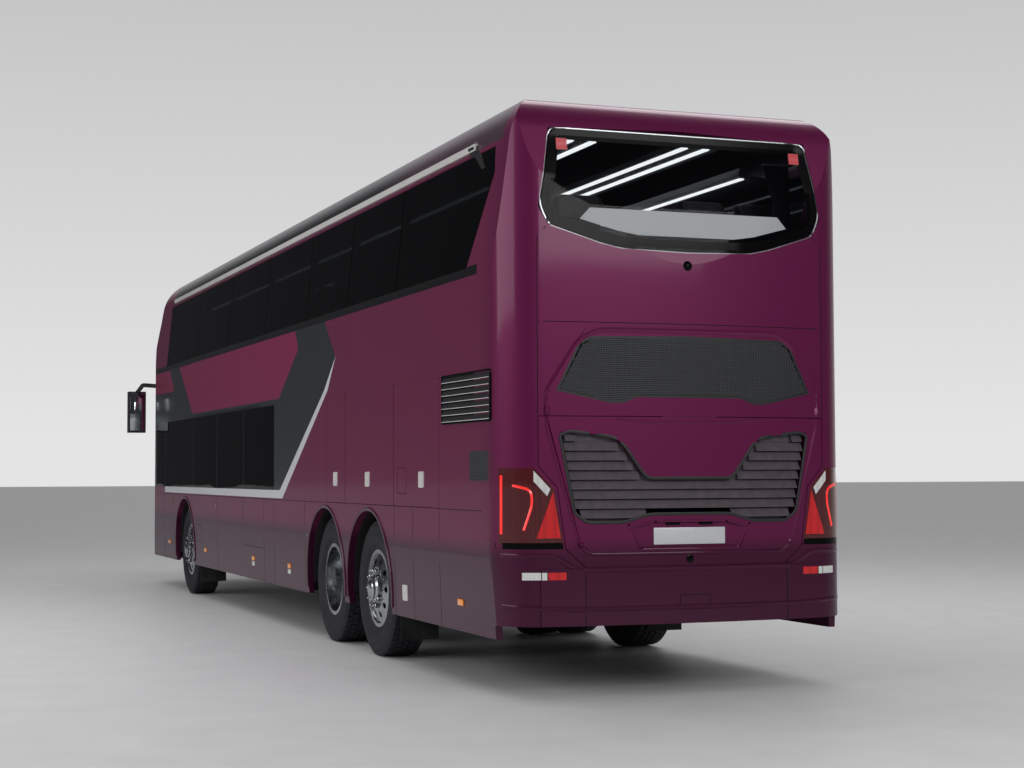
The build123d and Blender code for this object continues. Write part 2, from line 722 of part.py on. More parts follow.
# Axles. The steered ones are dropped beams whose ends hold the kingpins.
SPRING_RADIUS = 95
BEAM_TOP = TYRE_RADIUS - 150



def steered_beam(axle, spring_top):
    kingpin_y = WHEEL_CENTRE - STEER_OFFSET
    with BuildPart() as beam:
        with BuildSketch(wheel_plane(axle)):
            with BuildLine():
                Polyline(
                    (0, -150), (640, -150), (700, -162), (kingpin_y + 40, -162),
                    (kingpin_y + 40, -196), (690, -196), (600, -240), (0, -240),
                )
                mirror(about=Plane.YZ)
            make_face()
        extrude(amount=60, both=True)
        for side in (-1, 1):
            with Locations((from_rear(axle), side * kingpin_y, TYRE_RADIUS)):
                Cylinder(KINGPIN - RUNNING_GAP, 392)
        for side in (-1, 1):
            with Locations((from_rear(axle), side * RAIL_Y, BEAM_TOP)):
                Cylinder(SPRING_RADIUS, spring_top - SEAT_GAP - BEAM_TOP, align=(Align.CENTER, Align.CENTER, Align.MIN))
    return beam.part


front_axle = steered_beam(FRONT_AXLE, FLOOR_Z - FLOOR)
front_axle.label = "front_axle"
export_step(front_axle, "parts/front_axle.step")
tag_axle = steered_beam(TAG_AXLE, RAIL_BOTTOM_Z)
tag_axle.label = "tag_axle"
export_step(tag_axle, "parts/tag_axle.step")

with BuildPart() as drive_axle:
    across = Plane(origin=(from_rear(DRIVE_AXLE), 0, TYRE_RADIUS), x_dir=(1, 0, 0), z_dir=(0, 1, 0))
    with BuildSketch(across):
        Circle(AXLE_RADIUS)
    extrude(amount=WHEEL_CENTRE - 206, both=True)
    with BuildSketch(across):
        Circle(STUB_RADIUS)
    extrude(amount=WHEEL_CENTRE - 20, both=True)
    with Locations((from_rear(DRIVE_AXLE), 0, TYRE_RADIUS)):
        Sphere(210)
    for side in (-1, 1):
        with Locations((from_rear(DRIVE_AXLE), side * RAIL_Y, TYRE_RADIUS)):
            Cylinder(SPRING_RADIUS, RAIL_BOTTOM_Z - SEAT_GAP - TYRE_RADIUS, align=(Align.CENTER, Align.CENTER, Align.MIN))
drive_axle.part.label = "drive_axle"
export_step(drive_axle.part, "parts/drive_axle.step")

# Wheel arch liners: half rings inside the body
LINER = 6
LINER_BOTTOM = 478
with BuildPart() as wheel_arch_liners:
    for side in (-1, 1):
        for axle in (TAG_AXLE, DRIVE_AXLE, FRONT_AXLE):
            with BuildSketch(Plane.XZ.offset(-side * HALF_WIDTH)):
                with Locations((from_rear(axle), TYRE_RADIUS)):
                    Circle(ARCH_RADIUS + LINER)
                    Circle(ARCH_RADIUS, mode=Mode.SUBTRACT)
                with Locations((from_rear(axle), LINER_BOTTOM)):
                    Rectangle(3 * ARCH_RADIUS, ARCH_RADIUS, align=(Align.CENTER, Align.MAX), mode=Mode.SUBTRACT)
            extrude(amount=side * (HALF_WIDTH - WELL_INNER))
    add(inner_form, mode=Mode.INTERSECT)
wheel_arch_liners.part.label = "wheel_arch_liners"
export_step(wheel_arch_liners.part, "parts/wheel_arch_liners.step")

# Underframe: low saloon floor, raised hold floor over the rear axles, rails and cross members
step = DRIVE_AXLE + ARCH_RADIUS + 120
low_half = HALF_WIDTH - WALL - SKIRT_TUCK - 8
with BuildPart() as underframe:
    floor_outline = (
        (step, HOLD_FLOOR_Z), (step, FLOOR_Z), (LENGTH - 560, FLOOR_Z), (LENGTH - 560, FLOOR_Z - FLOOR),
        (step - FLOOR, FLOOR_Z - FLOOR), (step - FLOOR, HOLD_FLOOR_Z),
    )
    with BuildSketch(Plane.XZ):
        with BuildLine():
            Polyline([(from_rear(x), z) for x, z in floor_outline], close=True)
        make_face()
    extrude(amount=low_half, both=True)
    with Locations((from_rear((REAR_SPLIT + step) / 2), 0, HOLD_FLOOR_Z - HOLD_FLOOR / 2)):
        Box(step - REAR_SPLIT, 2 * (HALF_WIDTH - WALL), HOLD_FLOOR)
    for side in (-1, 1):
        with Locations((from_rear(FRONT_AXLE), side * (WELL_INNER + WIDTH / 2), TYRE_RADIUS)):
            Box(2 * ARCH_RADIUS + 20, WIDTH, 2 * ARCH_RADIUS, mode=Mode.SUBTRACT)
    rail = (
        (420, RAIL_BOTTOM_Z), (step - FLOOR, RAIL_BOTTOM_Z), (step - FLOOR, 1170), (step - FLOOR - 90, 1170),
        (step - FLOOR - 90, 960), (510, 960), (510, 1170), (420, 1170),
    )
    for side in (-1, 1):
        with BuildSketch(Plane.XZ.offset(-side * RAIL_Y)):
            with BuildLine():
                Polyline([(from_rear(x), z) for x, z in rail], close=True)
            make_face()
        extrude(amount=RAIL_WIDTH / 2, both=True)
    for x in (2450, 3880, 5000):
        with Locations((from_rear(x), 0, 895)):
            Box(80, 2 * RAIL_Y, 100)
    add(inner_form, mode=Mode.INTERSECT)
underframe.part.label = "underframe"
export_step(underframe.part, "parts/underframe.step")

# Upper deck floor with two stairwells
STAIRS = (
    # rear end from the rear, front end, right side, left side
    (FRONT_AXLE - 360, FRONT_AXLE + 1040, -130, 470),
    (step + 120, step + 1520, 560, 1160),
)
with BuildPart() as upper_deck_floor:
    floor_front = LENGTH - 700
    with Locations((from_rear((REAR_SPLIT + 50 + floor_front) / 2), 0, UPPER_FLOOR_Z - UPPER_FLOOR / 2)):
        Box(floor_front - REAR_SPLIT - 50, 2 * (HALF_WIDTH - WALL), UPPER_FLOOR)
    for rear, front, right, left in STAIRS:
        with Locations((from_rear((rear + front) / 2), (right + left) / 2, UPPER_FLOOR_Z)):
            Box(front - rear, left - right, 3 * UPPER_FLOOR, mode=Mode.SUBTRACT)
    add(inner_form, mode=Mode.INTERSECT)
upper_deck_floor.part.label = "upper_deck_floor"
export_step(upper_deck_floor.part, "parts/upper_deck_floor.step")

# Stairs: treads rise towards the rear from the front doorway, and towards the front at the mid one
STEPS = 8
with BuildPart() as stairs:
    for (rear, front, right, left), rises_back in zip(STAIRS, (True, False)):
        run = (front - rear) / STEPS
        rise = (UPPER_FLOOR_Z - UPPER_FLOOR - FLOOR_Z) / STEPS
        start = front if rises_back else rear
        way = -1 if rises_back else 1
        treads = [(start, FLOOR_Z)]
        for number in range(STEPS):
            treads.append((start + way * run * number, FLOOR_Z + rise * (number + 1) - (rise if number == STEPS else 0)))
            treads.append((start + way * run * (number + 1), FLOOR_Z + rise * (number + 1)))
        underside = [(start + way * run * STEPS, FLOOR_Z + rise * (STEPS - 1) - 60), (start + way * run * 1.3, FLOOR_Z)]
        with BuildSketch(Plane.XZ.offset(-left + 5)):
            with BuildLine():
                Polyline([(from_rear(x), z) for x, z in [*treads, *underside]], close=True)
            make_face()
        extrude(amount=left - right - 10)
stairs.part.label = "stairs"
export_step(stairs.part, "parts/stairs.step")

# Seats: a cushion with its pedestal and a reclined back, drawn from the side
SEAT_WIDTH = 450
SEAT_PITCH = 800
PAIR_CENTRE = 700


def seat_profile(x, floor):
    return [
        (from_rear(x), floor + 0.3), (from_rear(x + 300), floor + 0.3), (from_rear(x + 300), floor + 330),
        (from_rear(x + 430), floor + 340), (from_rear(x + 440), floor + 450), (from_rear(x + 60), floor + 430),
        (from_rear(x - 80), floor + 1130), (from_rear(x - 190), floor + 1130), (from_rear(x - 60), floor + 330),
    ]


def seat_rows(name, rows, floor):
    """Pairs of seats. Each row gives its distance from the rear and the side, 1 for the left."""
    with BuildPart() as seats:
        for x, side in rows:
            with BuildSketch(Plane.XZ.offset(-side * PAIR_CENTRE)):
                with BuildLine():
                    Polyline(seat_profile(x, floor), close=True)
                make_face()
            extrude(amount=SEAT_WIDTH, both=True)
    seats.part.label = name
    export_step(seats.part, f"parts/{name}.step")


def clear_of_stairs(x, side):
    for rear, front, right, left in STAIRS:
        over = x + 460 > rear and x - 210 < front
        if over and (left if side > 0 else -right) > PAIR_CENTRE - SEAT_WIDTH:
            return False
    return True


upper_count = int((LENGTH - 1900 - 900) / SEAT_PITCH) + 1
upper_rows = [(900 + row * SEAT_PITCH, side) for row in range(upper_count) for side in (-1, 1)]
seat_rows("upper_deck_seats", [row for row in upper_rows if clear_of_stairs(*row)], UPPER_FLOOR_Z)
lower_rows = [(step + 1800 + row * SEAT_PITCH, side) for row in range(4) for side in (-1, 1)]
seat_rows("lower_deck_seats", lower_rows, FLOOR_Z)

# Driver's place: platform, seat, dashboard and wheel
with BuildPart() as cockpit:
    platform_x = LENGTH - 1500
    with Locations((from_rear(platform_x + 400), 700, (FLOOR_Z + 0.3 + 880) / 2)):
        Box(800, 900, 880 - FLOOR_Z - 0.3)
    with BuildSketch(Plane.XZ.offset(-700)):
        with BuildLine():
            Polyline(seat_profile(LENGTH - 1400, 880), close=True)
        make_face()
    extrude(amount=240, both=True)
    with BuildSketch(Plane.XZ):
        with BuildLine():
            Polyline(
                [
                    (from_rear(x), z)
                    for x, z in (
                        (LENGTH - 690, FLOOR_Z + 0.3), (LENGTH - 560, FLOOR_Z + 0.3), (LENGTH - 560, 1150),
                        (LENGTH - 640, 1280), (LENGTH - 760, 1260), (LENGTH - 740, 1000),
                    )
                ],
                close=True,
            )
        make_face()
    extrude(amount=1080, both=True)
cockpit.part.label = "driver_cockpit"
export_step(cockpit.part, "parts/driver_cockpit.step")

# Engine: one plain block
with BuildPart() as engine_block:
    with Locations((from_rear(1350), 0, 850)):
        Box(1500, 2 * (RAIL_Y - RAIL_WIDTH / 2), 600)
    chamfer(engine_block.edges().filter_by(Axis.X), 60)
engine_block.part.label = "engine_block"
export_step(engine_block.part, "parts/engine_block.step")

# Roof rails above the windows, one on each side, with a dark bracket at the rear end
with BuildPart() as roof_rails:
    for side in (-1, 1):
        rail_front = LENGTH - 1600
        rail_rear = 800
        with Locations((from_rear((rail_front + rail_rear) / 2), side * (HALF_WIDTH - CANTRAIL_LEAN - 2), CANTRAIL_Z + 25)):
            Box(rail_front - rail_rear, 40, 46)
    add(outer_form, mode=Mode.SUBTRACT)
roof_rails.part.label = "roof_rails"
export_step(roof_rails.part, "parts/roof_rails.step")

# Mirrors: a bent arm from the front corner and a tall housing hanging from it
with BuildPart() as mirrors:
    for side in (-1, 1):
        head_x = from_rear(LENGTH + MIRROR_AHEAD - 70)
        head_y = side * (HALF_WIDTH + 160)
        with Locations((head_x, head_y, 2300)):
            Box(140, 230, 560)
        root = (from_rear(LENGTH - 420), side * (HALF_WIDTH - 40), 2640)
        knee = (from_rear(LENGTH - 230), side * (HALF_WIDTH + 120), 2660)
        tip = (head_x, head_y, 2560)
        with BuildLine():
            path = FilletPolyline(root, knee, tip, radius=90)
        with BuildSketch(Plane(origin=path @ 0, z_dir=path % 0)):
            Circle(28)
        sweep()
    add(outer_form, mode=Mode.SUBTRACT)
mirrors.part.label = "mirrors"
export_step(mirrors.part, "parts/mirrors.step")

# Mud flaps behind the wheels
with BuildPart() as mud_flaps:
    for axle in (TAG_AXLE, FRONT_AXLE):
        for side in (-1, 1):
            with Locations((from_rear(axle - ARCH_RADIUS - 5), side * (WHEEL_CENTRE - 20), LINER_BOTTOM - SEAT_GAP)):
                Box(8, TYRE_WIDTH - 10, 300, align=(Align.CENTER, Align.CENTER, Align.MAX))
mud_flaps.part.label = "mud_flaps"
export_step(mud_flaps.part, "parts/mud_flaps.step")

# Passenger doors on the right. Each swings out on two bent arms of one post at the doorway's front edge,
# and is held parallel to the coach's side.
DOORS = (("mid", MID_DOOR), ("front", FRONT_DOOR))
ARM_HEIGHTS = (760, 1850)
ARM_HIGH = 34
POST_RADIUS = 22
POST_INSET = 70
EYE_RADIUS = 30
PIN_RADIUS = 12
BRACKET = 46
OPEN_ANGLE = 150
NECK = 180
DOOR_SASH = 90
PIVOT_Y = HALF_WIDTH - WALL - 65

for name, (rear, front) in DOORS:
    post = (from_rear(front - POST_INSET), -PIVOT_Y)
    pin = (post[0] - ARM_LENGTH, post[1])
    elbow_turn = radians(270 - OPEN_ANGLE)
    elbow = (post[0] + NECK * cos(elbow_turn), post[1] + NECK * sin(elbow_turn))
    leaf = pane_points(rear + DOOR_GAP, front - DOOR_GAP, SKIRT_Z, DOOR_TOP_Z - DOOR_GAP, 0)
    glass_outline = pane_points(rear, front, DOOR_BOTTOM_Z + 180, DOOR_TOP_Z, DOOR_SASH)
    hole_outline = pane_points(rear, front, DOOR_BOTTOM_Z + 180, DOOR_TOP_Z, DOOR_SASH + FRAME_EDGE)

    with BuildPart() as door:
        add(side_region(leaf, -1))
        add(wall_form.part, mode=Mode.INTERSECT)
        add(window_cutters([glass_outline], [hole_outline], -1), mode=Mode.SUBTRACT)
        with BuildSketch(Plane.XY.offset(ARM_HEIGHTS[0] - 130)):
            with Locations((pin[0], pin[1] - 40)):
                Rectangle(BRACKET, 90)
        extrude(amount=ARM_HEIGHTS[1] - ARM_HEIGHTS[0] + 260)
        for height in ARM_HEIGHTS:
            with Locations((pin[0], pin[1] + 10, height)):
                Box(2 * BRACKET, 2 * EYE_RADIUS + 60, ARM_HIGH + 12, mode=Mode.SUBTRACT)
        for height in ARM_HEIGHTS:
            with Locations((pin[0], pin[1], height)):
                Cylinder(PIN_RADIUS, ARM_HIGH + 60)
    door.part.label = f"{name}_door"
    export_step(door.part, f"parts/{name}_door.step")

    with BuildPart() as door_glass:
        add(side_glass([pane_points(rear, front, DOOR_BOTTOM_Z + 180, DOOR_TOP_Z, DOOR_SASH + SEAT_GAP)], -1))
    door_glass.part.label = f"{name}_door_glass"
    export_step(door_glass.part, f"parts/{name}_door_glass.step")

    with BuildPart() as arms:
        post_top = UPPER_FLOOR_Z - UPPER_FLOOR - SEAT_GAP
        with BuildSketch(Plane.XY.offset(FLOOR_Z + SEAT_GAP)):
            with Locations(post):
                Circle(POST_RADIUS)
        extrude(amount=post_top - FLOOR_Z - SEAT_GAP)
        for height in ARM_HEIGHTS:
            with BuildSketch(Plane.XY.offset(height - ARM_HIGH / 2)):
                with BuildLine():
                    route = Polyline(post, elbow, pin)
                    offset(route.edges(), amount=ARM_RADIUS, side=Side.BOTH)
                make_face()
                with Locations(pin):
                    Circle(EYE_RADIUS)
                    Circle(PIN_RADIUS + RUNNING_GAP, mode=Mode.SUBTRACT)
            extrude(amount=ARM_HIGH)
    arms.part.label = f"{name}_door_arms"
    export_step(arms.part, f"parts/{name}_door_arms.step")
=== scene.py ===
from math import cos, hypot, pi, radians, sin

import bmesh
import bpy
from mathutils import Matrix, Vector
from mathutils.bvhtree import BVHTree


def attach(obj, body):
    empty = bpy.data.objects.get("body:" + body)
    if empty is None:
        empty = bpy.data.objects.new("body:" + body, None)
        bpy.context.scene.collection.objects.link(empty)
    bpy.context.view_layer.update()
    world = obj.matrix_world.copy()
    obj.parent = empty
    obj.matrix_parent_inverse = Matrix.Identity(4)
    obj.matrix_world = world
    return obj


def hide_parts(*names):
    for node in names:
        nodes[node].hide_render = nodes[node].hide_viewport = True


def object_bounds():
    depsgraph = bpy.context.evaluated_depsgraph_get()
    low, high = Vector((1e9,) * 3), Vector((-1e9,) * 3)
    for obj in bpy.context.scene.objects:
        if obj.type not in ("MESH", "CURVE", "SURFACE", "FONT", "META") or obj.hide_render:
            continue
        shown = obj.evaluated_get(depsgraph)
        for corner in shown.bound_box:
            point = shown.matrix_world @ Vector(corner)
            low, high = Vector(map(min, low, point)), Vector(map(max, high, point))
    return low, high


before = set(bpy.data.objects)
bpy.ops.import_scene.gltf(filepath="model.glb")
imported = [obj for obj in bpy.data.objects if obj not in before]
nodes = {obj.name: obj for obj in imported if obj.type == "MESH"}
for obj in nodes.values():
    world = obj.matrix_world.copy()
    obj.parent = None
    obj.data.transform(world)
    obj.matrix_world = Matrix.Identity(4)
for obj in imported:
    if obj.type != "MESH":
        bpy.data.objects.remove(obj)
cad_low, cad_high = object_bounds()

# The studio. A pale matt floor and an even pale backdrop stand round the coach, lit by three large soft
# boxes. Light Path keeps the backdrop bright for the camera, gloss and glass without lighting the coach.
scene = bpy.context.scene
scene.view_settings.view_transform = "Standard"
FLOOR_SIDE = 400
BACKDROP_HORIZON = "#E4E4E5"
BACKDROP_TOP = "#ABABAD"
STUDIO_DIM = "#3A3A3D"


def from_rear(distance):
    """Place along the coach of a distance in metres from the rear bumper."""
    return cad_low[0] + distance


def srgb(code):
    """Linear colour of an sRGB hex code."""
    channels = [int(code[i:i + 2], 16) / 255 for i in (1, 3, 5)]
    return (*[c / 12.92 if c <= 0.04045 else ((c + 0.055) / 1.055) ** 2.4 for c in channels], 1)


def add_node(tree, kind, inputs=(), **settings):
    """Node with its settings, and its inputs given as (socket name or number, value or output to link)."""
    node = tree.nodes.new(kind)
    for name, value in settings.items():
        setattr(node, name, value)
    for socket, value in inputs:
        if isinstance(value, bpy.types.NodeSocket):
            tree.links.new(value, node.inputs[socket])
        else:
            node.inputs[socket].default_value = value
    return node


def new_material(name):
    """Material with an empty tree, and that tree."""
    material = bpy.data.materials.new(name)
    material.use_nodes = True
    material.node_tree.nodes.clear()
    return material, material.node_tree


def finish_material(tree, shader):
    add_node(tree, "ShaderNodeOutputMaterial", [("Surface", shader.outputs[0])])


def principled(tree, inputs):
    finish_material(tree, add_node(tree, "ShaderNodeBsdfPrincipled", inputs))


def object_place(tree):
    return add_node(tree, "ShaderNodeTexCoord").outputs["Object"]


def noise_at(tree, place, scale, detail):
    return add_node(tree, "ShaderNodeTexNoise", [("Vector", place), ("Scale", scale), ("Detail", detail)])


def blend(tree, factor, first, second):
    """Colour from the first to the second, each a hex code or a socket."""
    first, second = (srgb(colour) if isinstance(colour, str) else colour for colour in (first, second))
    return add_node(tree, "ShaderNodeMix", [("Factor", factor), (6, first), (7, second)],
                    data_type="RGBA").outputs[2]


def maths(tree, operation, first, second):
    return add_node(tree, "ShaderNodeMath", [(0, first), (1, second)], operation=operation)


def ranged(tree, value, low, high, to_low=0, to_high=1):
    """A value's range drawn out to another, and held at its ends."""
    return add_node(tree, "ShaderNodeMapRange", [
        ("Value", value), ("From Min", low), ("From Max", high), ("To Min", to_low), ("To Max", to_high)])


def mesh_object(name, build, smooth=35):
    """Object whose mesh is filled by build(bm), smooth but for edges sharper than an angle in degrees."""
    bm = bmesh.new()
    build(bm)
    mesh = bpy.data.meshes.new(name)
    bm.to_mesh(mesh)
    bm.free()
    mesh.polygons.foreach_set("use_smooth", [True] * len(mesh.polygons))
    mesh.set_sharp_from_angle(angle=radians(smooth))
    obj = bpy.data.objects.new(name, mesh)
    scene.collection.objects.link(obj)
    return obj


def floor_mesh(bm):
    bmesh.ops.create_grid(bm, x_segments=1, y_segments=1, size=FLOOR_SIDE / 2)


studio_floor = mesh_object("studio_floor", floor_mesh)
material, tree = new_material("matt studio floor")
place = object_place(tree)
noise = noise_at(tree, place, 2.5, 6)
tone = blend(tree, noise.outputs["Fac"], "#B9B9BB", "#C8C8C9")
principled(tree, [ ("Base Color", tone), ("Roughness", 0.5), ("Specular IOR Level", 0.2)])
studio_floor.data.materials.append(material)

world = bpy.data.worlds.new("studio backdrop")
scene.world = world
world.use_nodes = True
tree = world.node_tree
tree.nodes.clear()
path = add_node(tree, "ShaderNodeLightPath")
direction = add_node(tree, "ShaderNodeSeparateXYZ", [
    ("Vector", add_node(tree, "ShaderNodeTexCoord").outputs["Generated"])])
height = ranged(tree, direction.outputs["Z"], 0.02, 0.42)
backdrop = blend(tree, height.outputs["Result"], BACKDROP_HORIZON, BACKDROP_TOP)
# the backdrop is lit ahead of the coach, and the rest of the studio is dim
lit_ahead = ranged(tree, direction.outputs["X"], 0.0, 0.6)
lit_right = ranged(tree, direction.outputs["Y"], 0.10, -0.06)
lit = maths(tree, "MULTIPLY", lit_ahead.outputs["Result"], lit_right.outputs["Result"])
lit = maths(tree, "MAXIMUM", lit.outputs[0], path.outputs["Is Camera Ray"])
backdrop = blend(tree, lit.outputs[0], STUDIO_DIM, backdrop)
seen = maths(tree, "MAXIMUM", path.outputs["Is Camera Ray"], path.outputs["Is Glossy Ray"])
seen = maths(tree, "MAXIMUM", seen.outputs[0], path.outputs["Is Transmission Ray"])
ambient = add_node(tree, "ShaderNodeBackground", [("Color", srgb("#FFFFFF")), ("Strength", 0.52)])
shown = add_node(tree, "ShaderNodeBackground", [("Color", backdrop), ("Strength", 1.0)])
add_node(tree, "ShaderNodeOutputWorld", [("Surface", add_node(tree, "ShaderNodeMixShader", [
    ("Fac", seen.outputs[0]), (1, ambient.outputs[0]), (2, shown.outputs[0])]).outputs[0])])

# name, place, aim, size along and across, power
SOFT_BOXES = (
    ("soft_box_over", (-1, 0, 11), (0, 0, 2), (16, 6), 900),
    ("soft_box_left", (-6, 14, 6), (-1, 0, 1.5), (14, 5), 700),
    ("soft_box_rear", (-17, -2, 6), (-7, 0, 2), (7, 4), 420),
)
for name, spot, aim, (along, across), power in SOFT_BOXES:
    light = bpy.data.lights.new(name, "AREA")
    light.shape = "RECTANGLE"
    light.size, light.size_y, light.energy = along, across, power
    lamp = bpy.data.objects.new(name, light)
    lamp.location = spot
    lamp.rotation_euler = (Vector(aim) - Vector(spot)).to_track_quat("-Z", "Y").to_euler()
    scene.collection.objects.link(lamp)

camera_data = bpy.data.cameras.new("camera")
camera_data.lens = 62.61
camera_data.sensor_width = 36
camera_data.clip_end = 1000
camera = bpy.data.objects.new("camera", camera_data)
YAW, PITCH, ROLL = radians(-20.715), radians(2.859), radians(-0.18)
ahead = Vector((cos(PITCH) * cos(YAW), cos(PITCH) * sin(YAW), sin(PITCH)))
camera.matrix_world = (
    Matrix.Translation((from_rear(-10.556), 5.244, 1.455))
    @ ahead.to_track_quat("-Z", "Y").to_matrix().to_4x4()
    @ Matrix.Rotation(ROLL, 4, "Z"))
scene.collection.objects.link(camera)
scene.camera = camera

# The painted shell. Sheet steel and glass-fibre panels in aubergine metallic under clear lacquer, with an
# anthracite band, a white stripe and a magenta field masked off on both sides along straight edges. Light and
# shade are painted into it as well: the sides take a lighter copy of the aubergine as painted light, the skirt
# and bumper a darker purple as painted shade, and a black slot under the field is a painted shadow.
AUBERGINE = "#621343"
SIDE_AUBERGINE_PAINTED_LIGHT = "#702449"
SKIRT_PAINTED_SHADE = "#430A2E"
ANTHRACITE = "#2E3236"
STRIPE_WHITE = "#DADCDD"
MAGENTA = "#8A2650"
SATIN_BLACK = "#0D0E10"
ANTHRACITE_LOW = ((6.25, 1.297), (13.6, 1.297), (13.6, 2.455), (4.21, 2.455), (4.60, 2.175))
ANTHRACITE_HIGH = ((4.21, 2.455), (13.6, 2.455), (13.6, 2.812), (4.61, 2.812))
STRIPE_LEVEL = ((6.15, 1.218), (12.67, 1.222), (12.67, 1.297), (6.25, 1.297))
STRIPE_LEVEL_FRONT = ((11.29, 1.29), (12.67, 1.29), (12.60, 1.33), (11.63, 1.383))
STRIPE_SLANT = ((4.47, 2.18), (6.15, 1.218), (6.25, 1.297), (4.60, 2.175))
STRIPE_TIP = ((4.205, 2.462), (4.47, 2.18), (4.60, 2.175))
FIELD = ((6.305, 2.178), (10.782, 2.177), (11.674, 2.783), (5.658, 2.783), (5.531, 2.61))
FIELD_FRONT = ((12.035, 2.502), (13.6, 2.502), (13.6, 2.783), (12.355, 2.783))
# the black slot under the magenta field is a painted shadow of a recess; the belt under the windows is black
# paint
FIELD_SLOT_PAINTED_SHADOW = ((7.12, 2.118), (10.62, 2.110), (10.72, 2.152), (7.12, 2.152))
BELT = ((0.60, 2.783), (13.6, 2.783), (13.6, 2.852), (0.60, 2.852))


def inside(tree, place, points):
    """1 inside a convex outline seen from the side, given counter-clockwise from the rear, and 0 outside."""
    smallest = None
    for (x0, z0), (x1, z1) in zip(points, points[1:] + points[:1]):
        length = hypot(x1 - x0, z1 - z0)
        normal = ((z0 - z1) / length, (x1 - x0) / length)
        offset = -(normal[0] * from_rear(x0) + normal[1] * z0)
        part = add_node(tree, "ShaderNodeMath", [(0, place.outputs["Z"]), (1, normal[1]), (2, offset)],
                        operation="MULTIPLY_ADD")
        edge = add_node(tree, "ShaderNodeMath",
            [(0, place.outputs["X"]), (1, normal[0]), (2, part.outputs[0])],
                        operation="MULTIPLY_ADD")
        smallest = edge if smallest is None else maths(tree, "MINIMUM", smallest.outputs[0], edge.outputs[0])
    return maths(tree, "GREATER_THAN", smallest.outputs[0], 0).outputs[0]


def bump(tree, height, strength, distance):
    return add_node(tree, "ShaderNodeBump",
        [("Height", height), ("Strength", strength), ("Distance", distance)])


def split_place(tree):
    """Place on the coach as separate X, Y and Z."""
    return add_node(tree, "ShaderNodeSeparateXYZ", [("Vector", object_place(tree))])


def lacquer(tree, colour, metallic=0.35, roughness=0.42, dust=True):
    """Metallic paint under clear coat. Flakes of 1 mm are drawn at 3 mm so that they show, the coat on top
    has the slight orange peel of sprayed lacquer, and road film dulls it near the ground."""
    place = object_place(tree)
    flakes = noise_at(tree, place, 330, 2)
    lumps = bump(tree, flakes.outputs["Fac"], 0.2, 0.0006)
    peel = noise_at(tree, place, 2.0, 1)
    waves = bump(tree, peel.outputs["Fac"], 0.12, 0.008)
    if dust:
        high = add_node(tree, "ShaderNodeSeparateXYZ", [("Vector", place)])
        film = ranged(tree, high.outputs["Z"], 0.4, 1.5, 0.12, 0)
        cloud = noise_at(tree, place, 5, 8)
        amount = maths(tree, "MULTIPLY", film.outputs["Result"], cloud.outputs["Fac"])
        colour = blend(tree, amount.outputs[0], colour, "#2A1B24")
    return add_node(tree, "ShaderNodeBsdfPrincipled", [
        ("Base Color", colour), ("Metallic", metallic), ("Roughness", roughness),
        ("Normal", lumps.outputs[0]),
        ("IOR", 1.30), ("Coat Weight", 0.45),
        ("Coat IOR", 1.4), ("Coat Roughness", 0.08), ("Coat Normal", waves.outputs[0])])


shell_paint, tree = new_material("aubergine metallic lacquer")
place = split_place(tree)
# below about 1 m the skirt and the bumper turn a darker purple: painted shade low down on the body
skirt = add_node(tree, "ShaderNodeMapRange", [
    ("Value", place.outputs["Z"]), ("From Min", 0.90), ("From Max", 1.06)], interpolation_type="SMOOTHSTEP")
colour = blend(tree, skirt.outputs["Result"], SKIRT_PAINTED_SHADE, AUBERGINE)
# away from the rear corner the sides turn to a lighter copy of the aubergine: painted light on the sides
side_light_ramp = ranged(tree, place.outputs["X"], from_rear(0.15), from_rear(0.60))
above = maths(tree, "MULTIPLY", side_light_ramp.outputs["Result"], skirt.outputs["Result"])
colour = blend(tree, above.outputs[0], colour, SIDE_AUBERGINE_PAINTED_LIGHT)
for hue, outlines in (
    (ANTHRACITE, (ANTHRACITE_LOW, ANTHRACITE_HIGH)),
    (STRIPE_WHITE, (STRIPE_LEVEL, STRIPE_LEVEL_FRONT, STRIPE_SLANT, STRIPE_TIP)),
    (MAGENTA, (FIELD, FIELD_FRONT)),
    # the slot's black is painted shadow, the belt's black is paint
    (SATIN_BLACK, (FIELD_SLOT_PAINTED_SHADOW, BELT)),
):
    for outline in outlines:
        colour = blend(tree, inside(tree, place, outline), colour, hue)
finish_material(tree, lacquer(tree, colour))

PAINTED = (
    "left_side_lower", "left_side_upper", "right_side_lower", "right_side_upper", "front_mask",
    "front_bumper",
    "rear_frame", "rear_bumper", "engine_lid", "front_door", "mid_door",
    "left_luggage_flap_1", "left_luggage_flap_2", "left_luggage_flap_3", "right_luggage_flap_1",
    "right_luggage_flap_2")


def clad(names, material):
    """Gives CAD nodes one finish."""
    for name in names:
        nodes[name].data.materials.clear()
        nodes[name].data.materials.append(material)


clad(PAINTED, shell_paint)

# The roof. One crowned glass-fibre skin, sprayed grey and darker towards the front.
roof_paint, tree = new_material("grey roof lacquer")
place = split_place(tree)
fade = ranged(tree, place.outputs["X"], from_rear(2.2), from_rear(3.4))
colour = blend(tree, fade.outputs["Result"], "#4A3540", "#1E2023")
finish_material(tree, lacquer(tree, colour, dust=False))
clad(("roof",), roof_paint)

# The glass. Toughened panes bonded flush in the walls: tinted almost black along the sides, and a little
# clearer at both ends, where the saloon shows through. Each has a black printed border.
side_glass, tree = new_material("privacy tinted toughened glass")
place = object_place(tree)
roll = noise_at(tree, place, 1.1, 1)
wave = bump(tree, roll.outputs["Fac"], 0.12, 0.05)
principled(tree, [ ("Base Color", srgb("#020303")), ("Roughness", 0.02), ("IOR", 1.18), ("Alpha", 0.95),
    ("Normal", wave.outputs[0])])
clad(("left_windows", "right_windows", "front_door_glass", "mid_door_glass"), side_glass)

